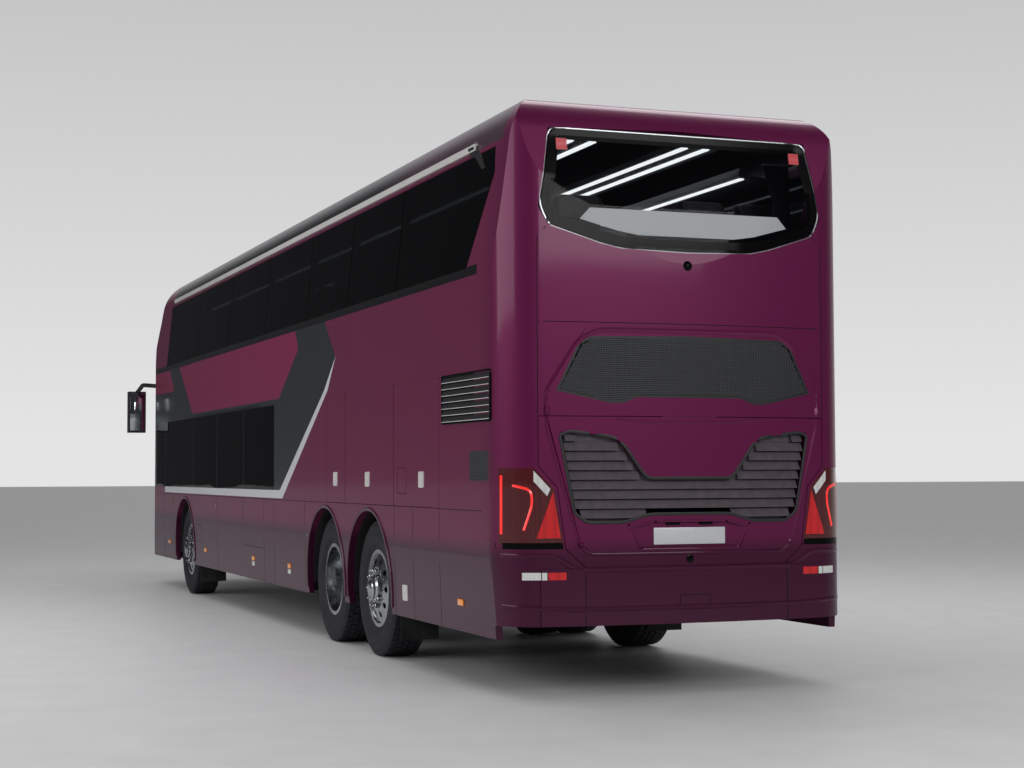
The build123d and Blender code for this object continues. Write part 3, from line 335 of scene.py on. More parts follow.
end_glass, tree = new_material("tinted laminated glass")
place = object_place(tree)
roll = noise_at(tree, place, 1.4, 1)
wave = bump(tree, roll.outputs["Fac"], 0.1, 0.05)
principled(tree, [ ("Base Color", srgb("#050608")), ("Roughness", 0.02), ("IOR", 1.25), ("Alpha", 0.50),
    ("Normal", wave.outputs[0])])
clad(("rear_glass", "windscreens"), end_glass)

border_black, tree = new_material("fired black ceramic print")
place = object_place(tree)
grain = noise_at(tree, place, 400, 3)
tone = blend(tree, grain.outputs["Fac"], "#050506", "#0B0B0D")
principled(tree, [ ("Base Color", tone), ("Roughness", 0.16), ("IOR", 1.20)])

SKIN = {}


def skin(names):
    """Surface of some CAD nodes, made once, for laying thin pieces on it."""
    if names not in SKIN:
        points, faces = [], []
        for name in names:
            start = len(points)
            points += [vertex.co.copy() for vertex in nodes[name].data.vertices]
            faces += [[start + corner for corner in face.vertices] for face in nodes[name].data.polygons]
        SKIN[names] = BVHTree.FromPolygons(points, faces)
    return SKIN[names]


def drop_on(names, facing, u, z):
    """Point where a level ray meets the surface: from behind or ahead u is the distance from the middle, from
    a side it is the distance from the rear."""
    if facing in ("rear", "front"):
        way = 1 if facing == "rear" else -1
        start = Vector((-way * 9, u, z))
        heading = Vector((way, 0, 0))
    else:
        way = -1 if facing == "left" else 1
        start = Vector((from_rear(u), -way * 4, z))
        heading = Vector((0, way, 0))
    hit = skin(names).ray_cast(start, heading)
    return hit[0], -heading


def outward(bm):
    bmesh.ops.recalc_face_normals(bm, faces=bm.faces[:])


def laid_on(bm, names, facing, outline, lift=0.0015, thick=0.003, pitch=0.06, hole=None):
    """Thin plate that follows the surface under an outline, proud of it by the lift. A hole is a second
    outline with as many corners, so that the plate is a border between the two."""
    patch = bmesh.new()
    if hole:
        outer = [patch.verts.new((u, z, 0)) for u, z in outline]
        inner = [patch.verts.new((u, z, 0)) for u, z in hole]
        for i in range(len(outer)):
            j = (i + 1) % len(outer)
            patch.faces.new((outer[i], outer[j], inner[j], inner[i]))
    else:
        patch.faces.new([patch.verts.new((u, z, 0)) for u, z in outline])
    for axis in (0, 1):
        low, high = (pick(vertex.co[axis] for vertex in patch.verts) for pick in (min, max))
        for cut in range(1, int((high - low) / pitch) + 1):
            at = low + cut * (high - low) / (int((high - low) / pitch) + 1)
            normal = Vector((1, 0, 0)) if axis == 0 else Vector((0, 1, 0))
            bmesh.ops.bisect_plane(patch, geom=patch.verts[:] + patch.edges[:] + patch.faces[:],
                                   plane_co=normal * at, plane_no=normal)
    rows = {}
    for vertex in patch.verts:
        point, out = drop_on(names, facing, vertex.co.x, vertex.co.y)
        if point is None:
            point = rows.get("last", Vector((0, 0, 0)))
        rows["last"] = point
        rows[vertex] = (bm.verts.new(point + out * lift), bm.verts.new(point + out * (lift - thick)))
    count = {}
    for face in patch.faces:
        top = [rows[vertex][0] for vertex in face.verts]
        bm.faces.new(top)
        bm.faces.new([rows[vertex][1] for vertex in reversed(face.verts)])
        for edge in face.edges:
            count[edge] = count.get(edge, 0) + 1
    for edge, used in count.items():
        if used == 1:
            a, b = edge.verts
            bm.faces.new((rows[a][0], rows[a][1], rows[b][1], rows[b][0]))
    patch.free()
    outward(bm)


def ride_with(piece, material, body):
    """Finishes a piece: its material, the body that it moves with, and the material slot."""
    piece.data.materials.append(material)
    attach(piece, body)


ROOT = "coach"


# Window borders. The printed border hides the adhesive: a broad one round the rear window and both
# windscreens, and a narrow bright seal round the rear window's edge.
def rounded(points, closed=False, step=0.03):
    """Path through (u, z, radius) points with its corners rounded, in short steps."""
    path = []
    count = len(points)
    for i, (u, z, radius) in enumerate(points):
        corner = Vector((u, z))
        if (not closed and i in (0, count - 1)) or not radius:
            path.append(corner)
            continue
        before, after = (Vector(points[(i + way) % count][:2]) - corner for way in (-1, 1))
        reach = min(radius * 0.7, before.length * 0.45, after.length * 0.45)
        a, b = corner + before.normalized() * reach, corner + after.normalized() * reach
        for t in range(7):
            t /= 6
            path.append(a * (1 - t) ** 2 + corner * 2 * t * (1 - t) + b * t * t)
    if closed:
        path.append(path[0])
    even = [path[0]]
    for a, b in zip(path, path[1:]):
        parts = max(1, int((b - a).length / step))
        even += [a + (b - a) * (k + 1) / parts for k in range(parts)]
    return even[:-1] if closed else even


def bridged(bm, rings, capped=True):
    """Faces between neighbouring rings of as many points, with a cap on both ends."""
    for a, b in zip(rings, rings[1:]):
        for k in range(len(a)):
            m = (k + 1) % len(a)
            bm.faces.new((a[k], a[m], b[m], b[k]))
    if capped:
        bm.faces.new(rings[0])
        bm.faces.new(list(reversed(rings[-1])))


def swept(bm, names, facing, path, section, closed=False):
    """Section of (across, lift) points carried along a path on the surface, across being to the path's left."""
    spots = []
    for point in path:
        hit, out = drop_on(names, facing, point.x, point.y)
        if hit is not None:
            spots.append((hit, out))
    rings = []
    if len(spots) < 2:
        return
    for i, (hit, out) in enumerate(spots):
        ahead = spots[(i + 1) % len(spots)][0] if closed or i + 1 < len(spots) else hit
        behind = spots[i - 1][0] if closed or i else hit
        across = out.cross((ahead - behind).normalized()).normalized()
        rings.append([bm.verts.new(hit + across * side + out * lift) for side, lift in section])
    bridged(bm, rings + rings[:1] if closed else rings, not closed)


def mirrored_path(half):
    """Closed outline of (u, z, radius) from its right half, whose last point is on the middle line."""
    return list(half) + [(-u, z, radius) for u, z, radius in reversed(half) if u > 0]


BAND = ((-0.036, -0.001), (-0.036, 0.0012), (0, 0.0014), (0.036, 0.0012), (0.036, -0.001))
REAR_BAND = ((0.905, 3.668, 0.07), (0.988, 3.20, 0.26), (0.928, 3.100, 0.06), (0.61, 2.992, 0.3),
    (0.46, 2.958, 0.2),
             (0, 2.950, 0))
SCREEN_BANDS = (
    ((1.00, 1.200, 0.08), (1.09, 1.50, 0.2), (1.085, 2.020, 0.05), (0, 2.030, 0)),
    ((1.055, 2.620, 0.05), (1.055, 3.52, 0.2), (0.98, 3.635, 0.06), (0, 3.640, 0)))


def rear_border(bm):
    swept(bm, ("rear_glass",), "rear", rounded(mirrored_path(REAR_BAND), True), BAND, True)
    outward(bm)


ride_with(mesh_object("rear_window_border", rear_border), border_black, ROOT)


def front_borders(bm):
    for half in SCREEN_BANDS:
        outline = mirrored_path(half)
        swept(bm, ("windscreens",), "front", rounded(outline, True), BAND, True)
    outward(bm)


ride_with(mesh_object("windscreen_borders", front_borders), border_black, ROOT)

bright_seal, tree = new_material("bright anodised trim")
place = object_place(tree)
drawn = noise_at(tree, add_node(tree, "ShaderNodeMapping",
    [("Vector", place), ("Scale", (4, 600, 600))]).outputs[0], 1, 3)
fine = bump(tree, drawn.outputs["Fac"], 0.1, 0.001)
tone = blend(tree, drawn.outputs["Fac"], "#9EA1A4", "#C2C5C7")
principled(tree, [ ("Base Color", tone), ("Metallic", 0.9), ("Roughness", 0.32), ("Normal", fine.outputs[0])])


REAR_SEAL = ((0.945, 3.708, 0.09), (1.034, 3.20, 0.28), (0.968, 3.062, 0.06), (0.62, 2.953, 0.3),
             (0.48, 2.922, 0.2), (0, 2.908, 0))


def rear_seal(bm):
    section = ((-0.005, -0.006), (-0.004, 0.003), (0.004, 0.003), (0.005, -0.006))
    swept(bm, ("rear_frame", "rear_glass"), "rear", rounded(mirrored_path(REAR_SEAL), True), section, True)
    outward(bm)


ride_with(mesh_object("rear_window_seal", rear_seal), bright_seal, ROOT)

# Inside the rear window. A grey moulded tray stands behind the glass, the ends of the luggage racks carry
# bright strip lamps.
TRAY = ((-0.69, 3.18), (-0.76, 3.105), (-0.5, 3.035), (-0.35, 3.012), (0.35, 3.012), (0.5, 3.035),
    (0.76, 3.105),
        (0.69, 3.18))
tray_grey, tree = new_material("moulded silver-grey ABS")
place = object_place(tree)
grain = noise_at(tree, place, 300, 4)
relief = bump(tree, grain.outputs["Fac"], 0.3, 0.0005)
tone = blend(tree, grain.outputs["Fac"], "#8E9194", "#A4A7AA")
principled(tree, [ ("Base Color", tone), ("Roughness", 0.42), ("Normal", relief.outputs[0])])


def tray_mesh(bm):
    laid_on(bm, ("rear_glass",), "rear", TRAY, 0.0026, 0.0018, 0.08)


ride_with(mesh_object("rear_tray", tray_mesh), tray_grey, ROOT)


def block(bm, low, high, bevel=0.0, segments=2):
    """Block between two corners with rounded edges."""
    made = bmesh.ops.create_cube(bm, size=1)["verts"]
    size = Vector(high) - Vector(low)
    for vertex in made:
        vertex.co = Vector([low[i] + (vertex.co[i] + 0.5) * size[i] for i in range(3)])
    if bevel:
        edges = list({edge for vertex in made for edge in vertex.link_edges})
        bmesh.ops.bevel(bm, geom=edges, offset=bevel, segments=segments, affect="EDGES", profile=0.5)


def lathe(bm, profile, centre, segments=48, axis="Y"):
    """Closed turned shape from (radius, place along the axis) points, the first and last on the axis or not."""
    rings = []
    for radius, along in profile:
        ring = []
        for step in range(segments if radius > 1e-6 else 1):
            turn = 2 * pi * step / segments
            across, up = radius * cos(turn), radius * sin(turn)
            local = {"Y": (across, along, up), "X": (along, across, up), "Z": (across, up, along)}[axis]
            ring.append(bm.verts.new(Vector(centre) + Vector(local)))
        rings.append(ring)
    closed = zip(rings, rings[1:] + ([rings[0]] if profile[0][0] > 1e-6 else []))
    for a, b in closed:
        for step in range(segments):
            following = (step + 1) % segments
            corners = [a[step % len(a)], a[following % len(a)], b[following % len(b)], b[step % len(b)]]
            corners = list(dict.fromkeys(corners))
            if len(corners) > 2:
                bm.faces.new(corners)
    outward(bm)


strip_light, tree = new_material("white LED strip lens")
place = object_place(tree)
dots = noise_at(tree, place, 40, 1)
tone = blend(tree, dots.outputs["Fac"], "#D8E2EA", "#FFFFFF")
principled(tree, [ ("Base Color", tone), ("Roughness", 0.3), ("Emission Color", tone),
    ("Emission Strength", 4.0)])


RACK_FLOOR = 3.56
RACK_ENDS = (0.72, 12.05)


def rack_lights(bm):
    for side in (-1, 1):
        block(bm, (from_rear(RACK_ENDS[0]), side * 0.785 - 0.02, RACK_FLOOR - 0.012),
              (from_rear(RACK_ENDS[1]), side * 0.785 + 0.02, RACK_FLOOR - 0.001), 0.003)


ride_with(mesh_object("rack_strip_lamps", rack_lights), strip_light, ROOT)


def racks_mesh(bm):
    """Open tray over each row of seats, from its lip by the aisle to the wall."""
    for side in (-1, 1):
        inner, outer = sorted((side * 0.765, side * 1.145))
        block(bm, (from_rear(RACK_ENDS[0]), inner, RACK_FLOOR),
            (from_rear(RACK_ENDS[1]), outer, RACK_FLOOR + 0.018), 0.006)
        inner, outer = sorted((side * 0.765, side * 0.800))
        block(bm, (from_rear(RACK_ENDS[0]), inner, RACK_FLOOR + 0.016),
              (from_rear(RACK_ENDS[1]), outer, RACK_FLOOR + 0.075), 0.010, 3)


ride_with(mesh_object("luggage_rack_trays", racks_mesh), tray_grey, ROOT)


def ceiling_ducts(bm):
    """Air ducts along both sides of the aisle's ceiling."""
    for side in (-1, 1):
        inner, outer = sorted((side * 0.29, side * 0.64))
        block(bm, (from_rear(RACK_ENDS[0]), inner, 3.762), (from_rear(RACK_ENDS[1]), outer, 3.800), 0.012, 3)


def ceiling_lamps(bm):
    for side in (-1, 1):
        for y in (0.33, 0.50):
            inner, outer = sorted((side * y, side * (y + 0.05)))
            block(bm, (from_rear(0.76), inner, 3.752), (from_rear(12.0), outer, 3.7635), 0.003)


ride_with(mesh_object("ceiling_ducts", ceiling_ducts), tray_grey, ROOT)
ride_with(mesh_object("ceiling_strip_lamps", ceiling_lamps), strip_light, ROOT)


# Wheels. Forged aluminium discs polished to a mirror, turned on a lathe, with a ring of plated steel nuts
# round each hub and a pressed cap over the bearing.
polished_alloy, tree = new_material("polished forged aluminium")
place = object_place(tree)
film = noise_at(tree, place, 14, 6)
dull = ranged(tree, film.outputs["Fac"], 0.3, 0.75, 0.12, 0.34)
tone = blend(tree, film.outputs["Fac"], "#C4C6C9", "#9FA2A5")
principled(tree, [ ("Base Color", tone), ("Metallic", 1.0), ("Roughness", dull.outputs["Result"])])
RIMS = [name for name in nodes if name.endswith("_rim")]
clad(RIMS, polished_alloy)

plated_steel, tree = new_material("zinc plated steel")
place = object_place(tree)
film = noise_at(tree, place, 60, 4)
tone = blend(tree, film.outputs["Fac"], "#D0D1D2", "#85878A")
principled(tree, [ ("Base Color", tone), ("Metallic", 1.0), ("Roughness", 0.22)])


def copies_tree(name, turning):
    """Geometry Nodes that repeat a mesh in a row with a step, or in a ring about the coach's cross axis."""
    tree = bpy.data.node_groups.new(name, "GeometryNodeTree")
    face = tree.interface
    for label, kind in (("Geometry", "NodeSocketGeometry"), ("Count", "NodeSocketInt"),
                        ("Step", "NodeSocketVector"), ("Place", "NodeSocketVector"),
                        ("Material", "NodeSocketMaterial")):
        face.new_socket(name=label, in_out="INPUT", socket_type=kind)
    face.new_socket(name="Geometry", in_out="OUTPUT", socket_type="NodeSocketGeometry")
    start = add_node(tree, "NodeGroupInput")
    line = add_node(tree, "GeometryNodeMeshLine", [("Count", start.outputs["Count"])])
    tree.links.new(start.outputs["Step"] if not turning else add_node(
        tree, "ShaderNodeCombineXYZ").outputs[0], line.inputs["Offset"])
    number = add_node(tree, "GeometryNodeInputIndex")
    turn = add_node(tree, "ShaderNodeVectorMath", [
        (0, start.outputs["Step"]), ("Scale", number.outputs[0])], operation="SCALE")
    made = add_node(tree, "GeometryNodeInstanceOnPoints", [
        ("Points", line.outputs[0]), ("Instance", start.outputs["Geometry"])])
    if turning:
        tree.links.new(turn.outputs[0], made.inputs["Rotation"])
    moved = add_node(tree, "GeometryNodeTransform", [
        ("Geometry", made.outputs[0]), ("Translation", start.outputs["Place"])])
    real = add_node(tree, "GeometryNodeRealizeInstances", [("Geometry", moved.outputs[0])])
    dressed = add_node(tree, "GeometryNodeSetMaterial", [
        ("Geometry", real.outputs[0]), ("Material", start.outputs["Material"])])
    add_node(tree, "NodeGroupOutput", [("Geometry", dressed.outputs[0])])
    return tree


ring_of_copies = copies_tree("ring of copies", True)
row_of_copies = copies_tree("row of copies", False)


def repeated(obj, tree, count, step, place, material):
    """Runs a tree on an object and leaves the plain mesh that comes out of it."""
    modifier = obj.modifiers.new("copies", "NODES")
    modifier.node_group = tree
    values = {"Count": count, "Step": step, "Place": place, "Material": material}
    for socket in tree.interface.items_tree:
        if socket.in_out == "INPUT" and socket.name in values:
            modifier[socket.identifier] = values[socket.name]
    return baked(obj)


def baked(obj):
    """Replaces an object's mesh with what its modifiers make of it, and removes them."""
    graph = bpy.context.evaluated_depsgraph_get()
    mesh = bpy.data.meshes.new_from_object(obj.evaluated_get(graph))
    obj.modifiers.clear()
    obj.data = mesh
    return obj


def merged(name, objects):
    """One object from several, which go."""
    bm = bmesh.new()
    for obj in objects:
        bm.from_mesh(obj.data)
        bpy.data.objects.remove(obj)
    mesh = bpy.data.meshes.new(name)
    bm.to_mesh(mesh)
    bm.free()
    result = bpy.data.objects.new(name, mesh)
    scene.collection.objects.link(result)
    return result


WHEEL_CENTRE = 1.060
TWIN_INNER = 0.710
AXLES = {"tag": 3.21, "drive": 4.56, "front": 11.26}
AXLE_Z = 0.538
SIDES = {"left": 1, "right": -1}
NUTS = 10
# nut circle, and the disc's outer face from the tyre's middle
NUT_PLACES = {"front": (0.142, 0.140), "tag": (0.142, 0.140), "drive": (0.142, -0.168)}
HUB_CAPS = {"front": 0.186, "tag": 0.186, "drive": 0.020}


def nut_mesh(radius, face, side):
    """Six-sided nut on a round washer with its stud's rounded end, standing on the disc."""
    def build(bm):
        def post(profile, segments):
            lathe(bm, profile, (radius, side * face, 0), segments, "Y")
        post([(0, side * 0.001), (0.023, side * 0.001), (0.024, side * 0.005), (0, side * 0.006)], 16)
        post([(0, side * 0.005), (0.0185, side * 0.005), (0.0185, side * 0.026), (0.015, side * 0.031),
              (0, side * 0.031)], 6)
        post([(0, side * 0.030), (0.010, side * 0.030), (0.010, side * 0.042), (0.007, side * 0.045),
              (0, side * 0.045)], 10)
    return build


def cap_mesh(axle, side, out):
    def build(bm):
        face = side * (WHEEL_CENTRE + out)
        rings = [(0.097, 0.0005), (0.097, 0.004), (0.090, 0.007), (0.078, 0.007), (0.074, 0.004),
            (0.070, 0.008),
                 (0.062, 0.016), (0.040, 0.021), (0.018, 0.022), (0, 0.022)]
        lathe(bm, [(0, 0.0005)] + [(r, y) for r, y in rings] if side > 0 else
              [(0, -0.0005)] + [(r, -y) for r, y in rings], (from_rear(AXLES[axle]), face, AXLE_Z), 40, "Y")
    return build


for side_name, side in SIDES.items():
    for axle, (circle, face) in NUT_PLACES.items():
        body = f"{axle}_{side_name}_wheel"
        nuts = mesh_object(f"{axle}_{side_name}_nuts", nut_mesh(circle, WHEEL_CENTRE + face, side), 25)
        repeated(nuts, ring_of_copies, NUTS, (0, 2 * pi / NUTS, 0), (from_rear(AXLES[axle]), 0, AXLE_Z),
                 plated_steel)
        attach(nuts, body)
        cap = mesh_object(f"{axle}_{side_name}_hub_cap", cap_mesh(axle, side, HUB_CAPS[axle]))
        ride_with(cap, polished_alloy, body)

# Tyres. Moulded rubber: a carcass with grooves between the ribs, and blocks cut across the ribs. The walls
# have fine raised rings and a film of road dust.
tyre_rubber, tree = new_material("carbon black tyre rubber")
place = object_place(tree)
dust = noise_at(tree, place, 9, 8)
grain = noise_at(tree, place, 250, 3)
skin_bump = bump(tree, grain.outputs["Fac"], 0.35, 0.0012)
tone = blend(tree, dust.outputs["Fac"], "#17171A", "#34333A")
principled(tree, [ ("Base Color", tone), ("Roughness", 0.72), ("Specular IOR Level", 0.3),
    ("Normal", skin_bump.outputs[0])])

BEAD = 0.2925
CARCASS = (
    (BEAD, 0.108), (0.300, 0.118), (0.322, 0.124), (0.330, 0.131), (0.350, 0.141), (0.356, 0.146),
    (0.362, 0.144),
    (0.395, 0.152), (0.420, 0.1545), (0.424, 0.1558), (0.428, 0.1545), (0.455, 0.151), (0.480, 0.146),
    (0.486, 0.147),
    (0.490, 0.144), (0.506, 0.140), (0.520, 0.133), (0.526, 0.124), (0.526, 0.0))
RIBS = ((-0.128, -0.086), (-0.076, -0.030), (-0.020, 0.020), (0.030, 0.076), (0.086, 0.128))
TREAD_BLOCKS = 54


def carcass_mesh(axle, centres):
    def build(bm):
        for centre in centres:
            section = [(radius, -along) for radius, along in CARCASS] + list(reversed(CARCASS[:-1]))
            lathe(bm, section, (from_rear(AXLES[axle]), centre, AXLE_Z), 72, "Y")
    return build


def tread_mesh(centres):
    """One row of tread blocks, side by side, with their edges slanted."""
    def build(bm):
        pitch = 2 * pi / TREAD_BLOCKS
        for centre in centres:
            for number, (low, high) in enumerate(RIBS):
                shift = (number % 2) * pitch / 2
                outer = number in (0, 4)
                corners = []
                for radius in (0.523, 0.5345 if outer else 0.5375):
                    for turn, along in ((-0.42, low), (0.42, low), (0.46, high), (-0.38, high)):
                        angle = shift + turn * pitch
                        corners.append(bm.verts.new((radius * sin(angle), centre + along,
                            radius * cos(angle))))
                for face in ((3, 2, 1, 0), (4, 5, 6, 7), (0, 1, 5, 4), (1, 2, 6, 5), (2, 3, 7, 6),
                    (3, 0, 4, 7)):
                    bm.faces.new([corners[i] for i in face])
        outward(bm)
    return build


for side_name, side in SIDES.items():
    for axle in AXLES:
        centres = [side * WHEEL_CENTRE] + ([side * TWIN_INNER] if axle == "drive" else [])
        carcass = mesh_object(f"{axle}_{side_name}_carcass", carcass_mesh(axle, centres))
        carcass.data.materials.append(tyre_rubber)
        blocks = mesh_object(f"{axle}_{side_name}_blocks", tread_mesh(centres), 25)
        repeated(blocks, ring_of_copies, TREAD_BLOCKS, (0, 2 * pi / TREAD_BLOCKS, 0),
                 (from_rear(AXLES[axle]), 0, AXLE_Z), tyre_rubber)
        tyre = merged(f"{axle}_{side_name}_treaded_tyre", [carcass, blocks])
        tyre.data.polygons.foreach_set("use_smooth", [True] * len(tyre.data.polygons))
        tyre.data.set_sharp_from_angle(angle=radians(30))
        ride_with(tyre, tyre_rubber, f"{axle}_{side_name}_wheel")
        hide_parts(f"{axle}_{side_name}_tyre")


# Trim along the sides. A satin light strip over the windows ends in a dark moulded bracket at the rear, thin
# pressed lips edge the wheel arches, and lamps, reflectors and locks sit on the skirt.
strip_satin, tree = new_material("satin silver painted extrusion")
place = object_place(tree)
film = noise_at(tree, place, 7, 5)
tone = blend(tree, film.outputs["Fac"], "#C9C7C5", "#DEDCDA")
principled(tree, [ ("Base Color", tone), ("Metallic", 0.25), ("Roughness", 0.38), ("Coat Weight", 0.3),
    ("Coat Roughness", 0.1)])
clad(("roof_rails",), strip_satin)

black_plastic, tree = new_material("moulded black polypropylene")
place = object_place(tree)
grain = noise_at(tree, place, 380, 4)
relief = bump(tree, grain.outputs["Fac"], 0.4, 0.0006)
film = noise_at(tree, place, 6, 6)
tone = blend(tree, film.outputs["Fac"], "#141416", "#222226")
principled(tree, [ ("Base Color", tone), ("Roughness", 0.48), ("Normal", relief.outputs[0])])
clad(("mirrors", "driver_cockpit", "stairs", "wheel_arch_liners"), black_plastic)

SIDE_WALLS = {
    side: tuple(f"{side}_{name}" for name in ("side_lower", "side_upper", "windows")) for side in SIDES}
BRACKET = ((0.84, 3.722), (0.70, 3.60), (0.60, 3.50), (0.66, 3.50), (0.80, 3.60), (0.93, 3.632),
    (0.93, 3.722))


def brackets(bm):
    for side in SIDES:
        walls = (*SIDE_WALLS[side], "rear_frame", "roof", "roof_rails")
        laid_on(bm, walls, side, BRACKET, 0.006, 0.008, 0.05)


ride_with(mesh_object("strip_brackets", brackets), black_plastic, ROOT)

ARCH = 0.622
LIP_START = -0.17
HALF_WIDE = 1.275
LIP_PROFILE = ((0, 0), (0, 0.006), (0.006, 0.010), (0.024, 0.010), (0.030, 0.004), (0.030, 0))


def arch_lips(bm):
    """Lip section swept round each arch, from the skirt's edge over the wheel and down again."""
    for side_name, side in SIDES.items():
        for x in AXLES.values():
            rings = []
            steps = 60
            for step in range(steps + 1):
                turn = LIP_START + (pi - 2 * LIP_START) * step / steps
                ring = []
                for out, lift in LIP_PROFILE:
                    radius = ARCH - 0.003 + out
                    z = AXLE_Z + radius * sin(turn)
                    wall = HALF_WIDE - max(0, 0.900 - z) * 0.0385
                    ring.append(bm.verts.new((from_rear(x) + radius * cos(turn), side * (wall + lift), z)))
                rings.append(ring)
            for a, b in zip(rings, rings[1:]):
                for i in range(len(a) - 1):
                    bm.faces.new((a[i], a[i + 1], b[i + 1], b[i]))
            for a, b in zip(rings, rings[1:]):
                bm.faces.new((a[-1], a[0], b[0], b[-1]))
            bm.faces.new(rings[0])
            bm.faces.new(list(reversed(rings[-1])))
    outward(bm)


# the lips take a darker copy of the body's aubergine: painted shade, as on the skirt
lip_paint_shaded, tree = new_material("aubergine lip lacquer in painted shade")
finish_material(tree, lacquer(tree, srgb("#4A1430")))
ride_with(mesh_object("arch_lips", arch_lips), lip_paint_shaded, ROOT)


def lens_material(name, dark, bright, strength=0.0):
    """Moulded acrylic lens: a prism pattern of 4 mm under a smooth face, drawn at 8 mm so that it shows."""
    material, tree = new_material(name)
    place = object_place(tree)
    prisms = add_node(tree, "ShaderNodeTexVoronoi", [("Vector", place), ("Scale", 125), ("Randomness", 0.0)])
    tone = blend(tree, prisms.outputs["Distance"], bright, dark)
    relief = bump(tree, prisms.outputs["Distance"], 0.3, 0.002)
    principled(tree, [ ("Base Color", tone), ("Roughness", 0.18), ("Normal", relief.outputs[0]),
        ("Coat Weight", 1.0), ("Coat Roughness", 0.02), ("Emission Color", srgb(bright)),
        ("Emission Strength", strength)])
    return material


amber_lens = lens_material("amber acrylic lens", "#B35A00", "#FF9A1E", 0.12)
white_lens = lens_material("clear acrylic lens", "#A9AAAA", "#E6E6E4")
red_lens = lens_material("red acrylic lens", "#6E0307", "#D9141A", 0.10)
led_red = lens_material("red LED light guide", "#C8161A", "#F0302C", 0.55)
dark_lens = lens_material("smoked red acrylic lens", "#2B0307", "#5E0A12")

# distance from the rear, height, length, height of the lens
AMBER_MARKERS = ((12.35, 0.595, 0.11, 0.045), (9.98, 0.58, 0.11, 0.045), (4.217, 0.49, 0.09, 0.04),
                 (0.964, 0.577, 0.11, 0.045), (7.44, 0.595, 0.10, 0.045), (5.887, 0.590, 0.10, 0.045))
WHITE_MARKERS = ((7.44, 0.542, 0.10, 0.045), (5.887, 0.537, 0.10, 0.045))


def side_lenses(rows):
    def build(bm):
        for side in SIDES:
            for x, z, length, high in rows:
                outline = [(x - length / 2, z - high / 2), (x + length / 2, z - high / 2),
                           (x + length / 2, z + high / 2), (x - length / 2, z + high / 2)]
                if drop_on(SIDE_WALLS[side], side, x, z)[0] is not None:
                    laid_on(bm, SIDE_WALLS[side], side, outline, 0.009, 0.011, 0.02)
        bmesh.ops.bevel(bm, geom=[edge for edge in bm.edges if edge.calc_face_angle(0) > 1], offset=0.003,
                        segments=2, affect="EDGES", profile=0.5)
    return build


ride_with(mesh_object("side_markers", side_lenses(AMBER_MARKERS)), amber_lens, ROOT)
ride_with(mesh_object("side_reflectors", side_lenses(WHITE_MARKERS)), white_lens, ROOT)


def locks(bm):
    for side, spots in (("left", ((10.246, 0.752), (5.18, 0.913), (7.83, 1.15), (12.12, 1.10), (9.34, 1.10))),
                        ("right", ((5.18, 0.913), (7.00, 1.15), (9.34, 1.10)))):
        for x, z in spots:
            point, out = drop_on(SIDE_WALLS[side], side, x, z)
            way = out.y
            rings = [(0.019, 0), (0.019, 0.003), (0.016, 0.0045), (0.010, 0.0045), (0.010, 0.003), (0, 0.003)]
            lathe(bm, [(0, 0)] + [(radius, way * lift) for radius, lift in rings], point, 20, "Y")


ride_with(mesh_object("side_locks", locks), plated_steel, ROOT)

# Rear lamps. Each corner holds a tall cluster behind a smoked lens: a red light guide stands outboard, bent
# lights cross the middle, a clear block sits at the top inboard corner, and a black foot closes it below.
LAMP_SEAT = ("tail_lamps", "rear_frame", "rear_bumper")
LAMP_PARTS = {
    "lamp_led_lines": (led_red, (((1.236, 1.44), (1.246, 1.44), (1.246, 1.06), (1.236, 1.06)),)),
    "lamp_clear_blocks": (white_lens, (((0.965, 1.352), (1.072, 1.468), (1.072, 1.40), (0.985, 1.305)),)),
    "lamp_inner_lenses": (red_lens, (((0.945, 1.335), (1.055, 1.035), (0.896, 1.035)),)),
}
clad(("tail_lamps",), dark_lens)


def mirrored(outlines, lift, thick, pitch=0.03):
    """Plates laid on the rear under outlines and their mirror images."""
    def build(bm):
        for side in (1, -1):
            for outline in outlines:
                points = [(side * u, z) for u, z in outline]
                laid_on(bm, LAMP_SEAT, "rear", points, lift, thick, pitch)
    return build


for name, (lens, outlines) in LAMP_PARTS.items():
    ride_with(mesh_object(name, mirrored(outlines, 0.003, 0.004)), lens, ROOT)
LAMP_FOOT = ((0.885, 1.006), (1.262, 1.006), (1.262, 0.965), (0.878, 0.965))
ride_with(mesh_object("lamp_feet", mirrored((LAMP_FOOT,), 0.002, 0.003)), border_black, ROOT)
ride_with(mesh_object("low_lamp_red",
    mirrored((((0.865, 0.768), (0.985, 0.768), (0.985, 0.816), (0.865, 0.816)),),
                                               0.002, 0.003)), red_lens, ROOT)
ride_with(mesh_object("low_lamp_clear",
    mirrored((((0.992, 0.768), (1.14, 0.768), (1.14, 0.816), (0.992, 0.816)),),
                                                 0.002, 0.003)), white_lens, ROOT)

# Rear grilles. Woven steel mesh fills the recess above the lid and the panel in each side. The louvre in
# the lid is moulded in nine overlapping slats with a leather-like grain.
woven_steel, tree = new_material("black coated woven steel mesh")
place = split_place(tree)
across = maths(tree, "ADD", place.outputs["X"], place.outputs["Y"])
# wires 2 mm thick at 6 mm, drawn at 12 mm so that the weave shows
wires = []
for value in (across.outputs[0], place.outputs["Z"]):
    turned = maths(tree, "MULTIPLY", value, 2 * pi / 0.012)
    wires.append(add_node(tree, "ShaderNodeMath", [(0, turned.outputs[0])], operation="SINE").outputs[0])
weave = maths(tree, "MAXIMUM", wires[0], wires[1])
open_part = ranged(tree, weave.outputs[0], 0.2, 0.9)
tone = blend(tree, open_part.outputs["Result"], "#08080A", "#3A3C40")
relief = bump(tree, weave.outputs[0], 0.5, 0.002)
principled(tree, [ ("Base Color", tone), ("Roughness", 0.42), ("Metallic", 0.3),
    ("Normal", relief.outputs[0])])
clad(("mesh_grille",), black_plastic)
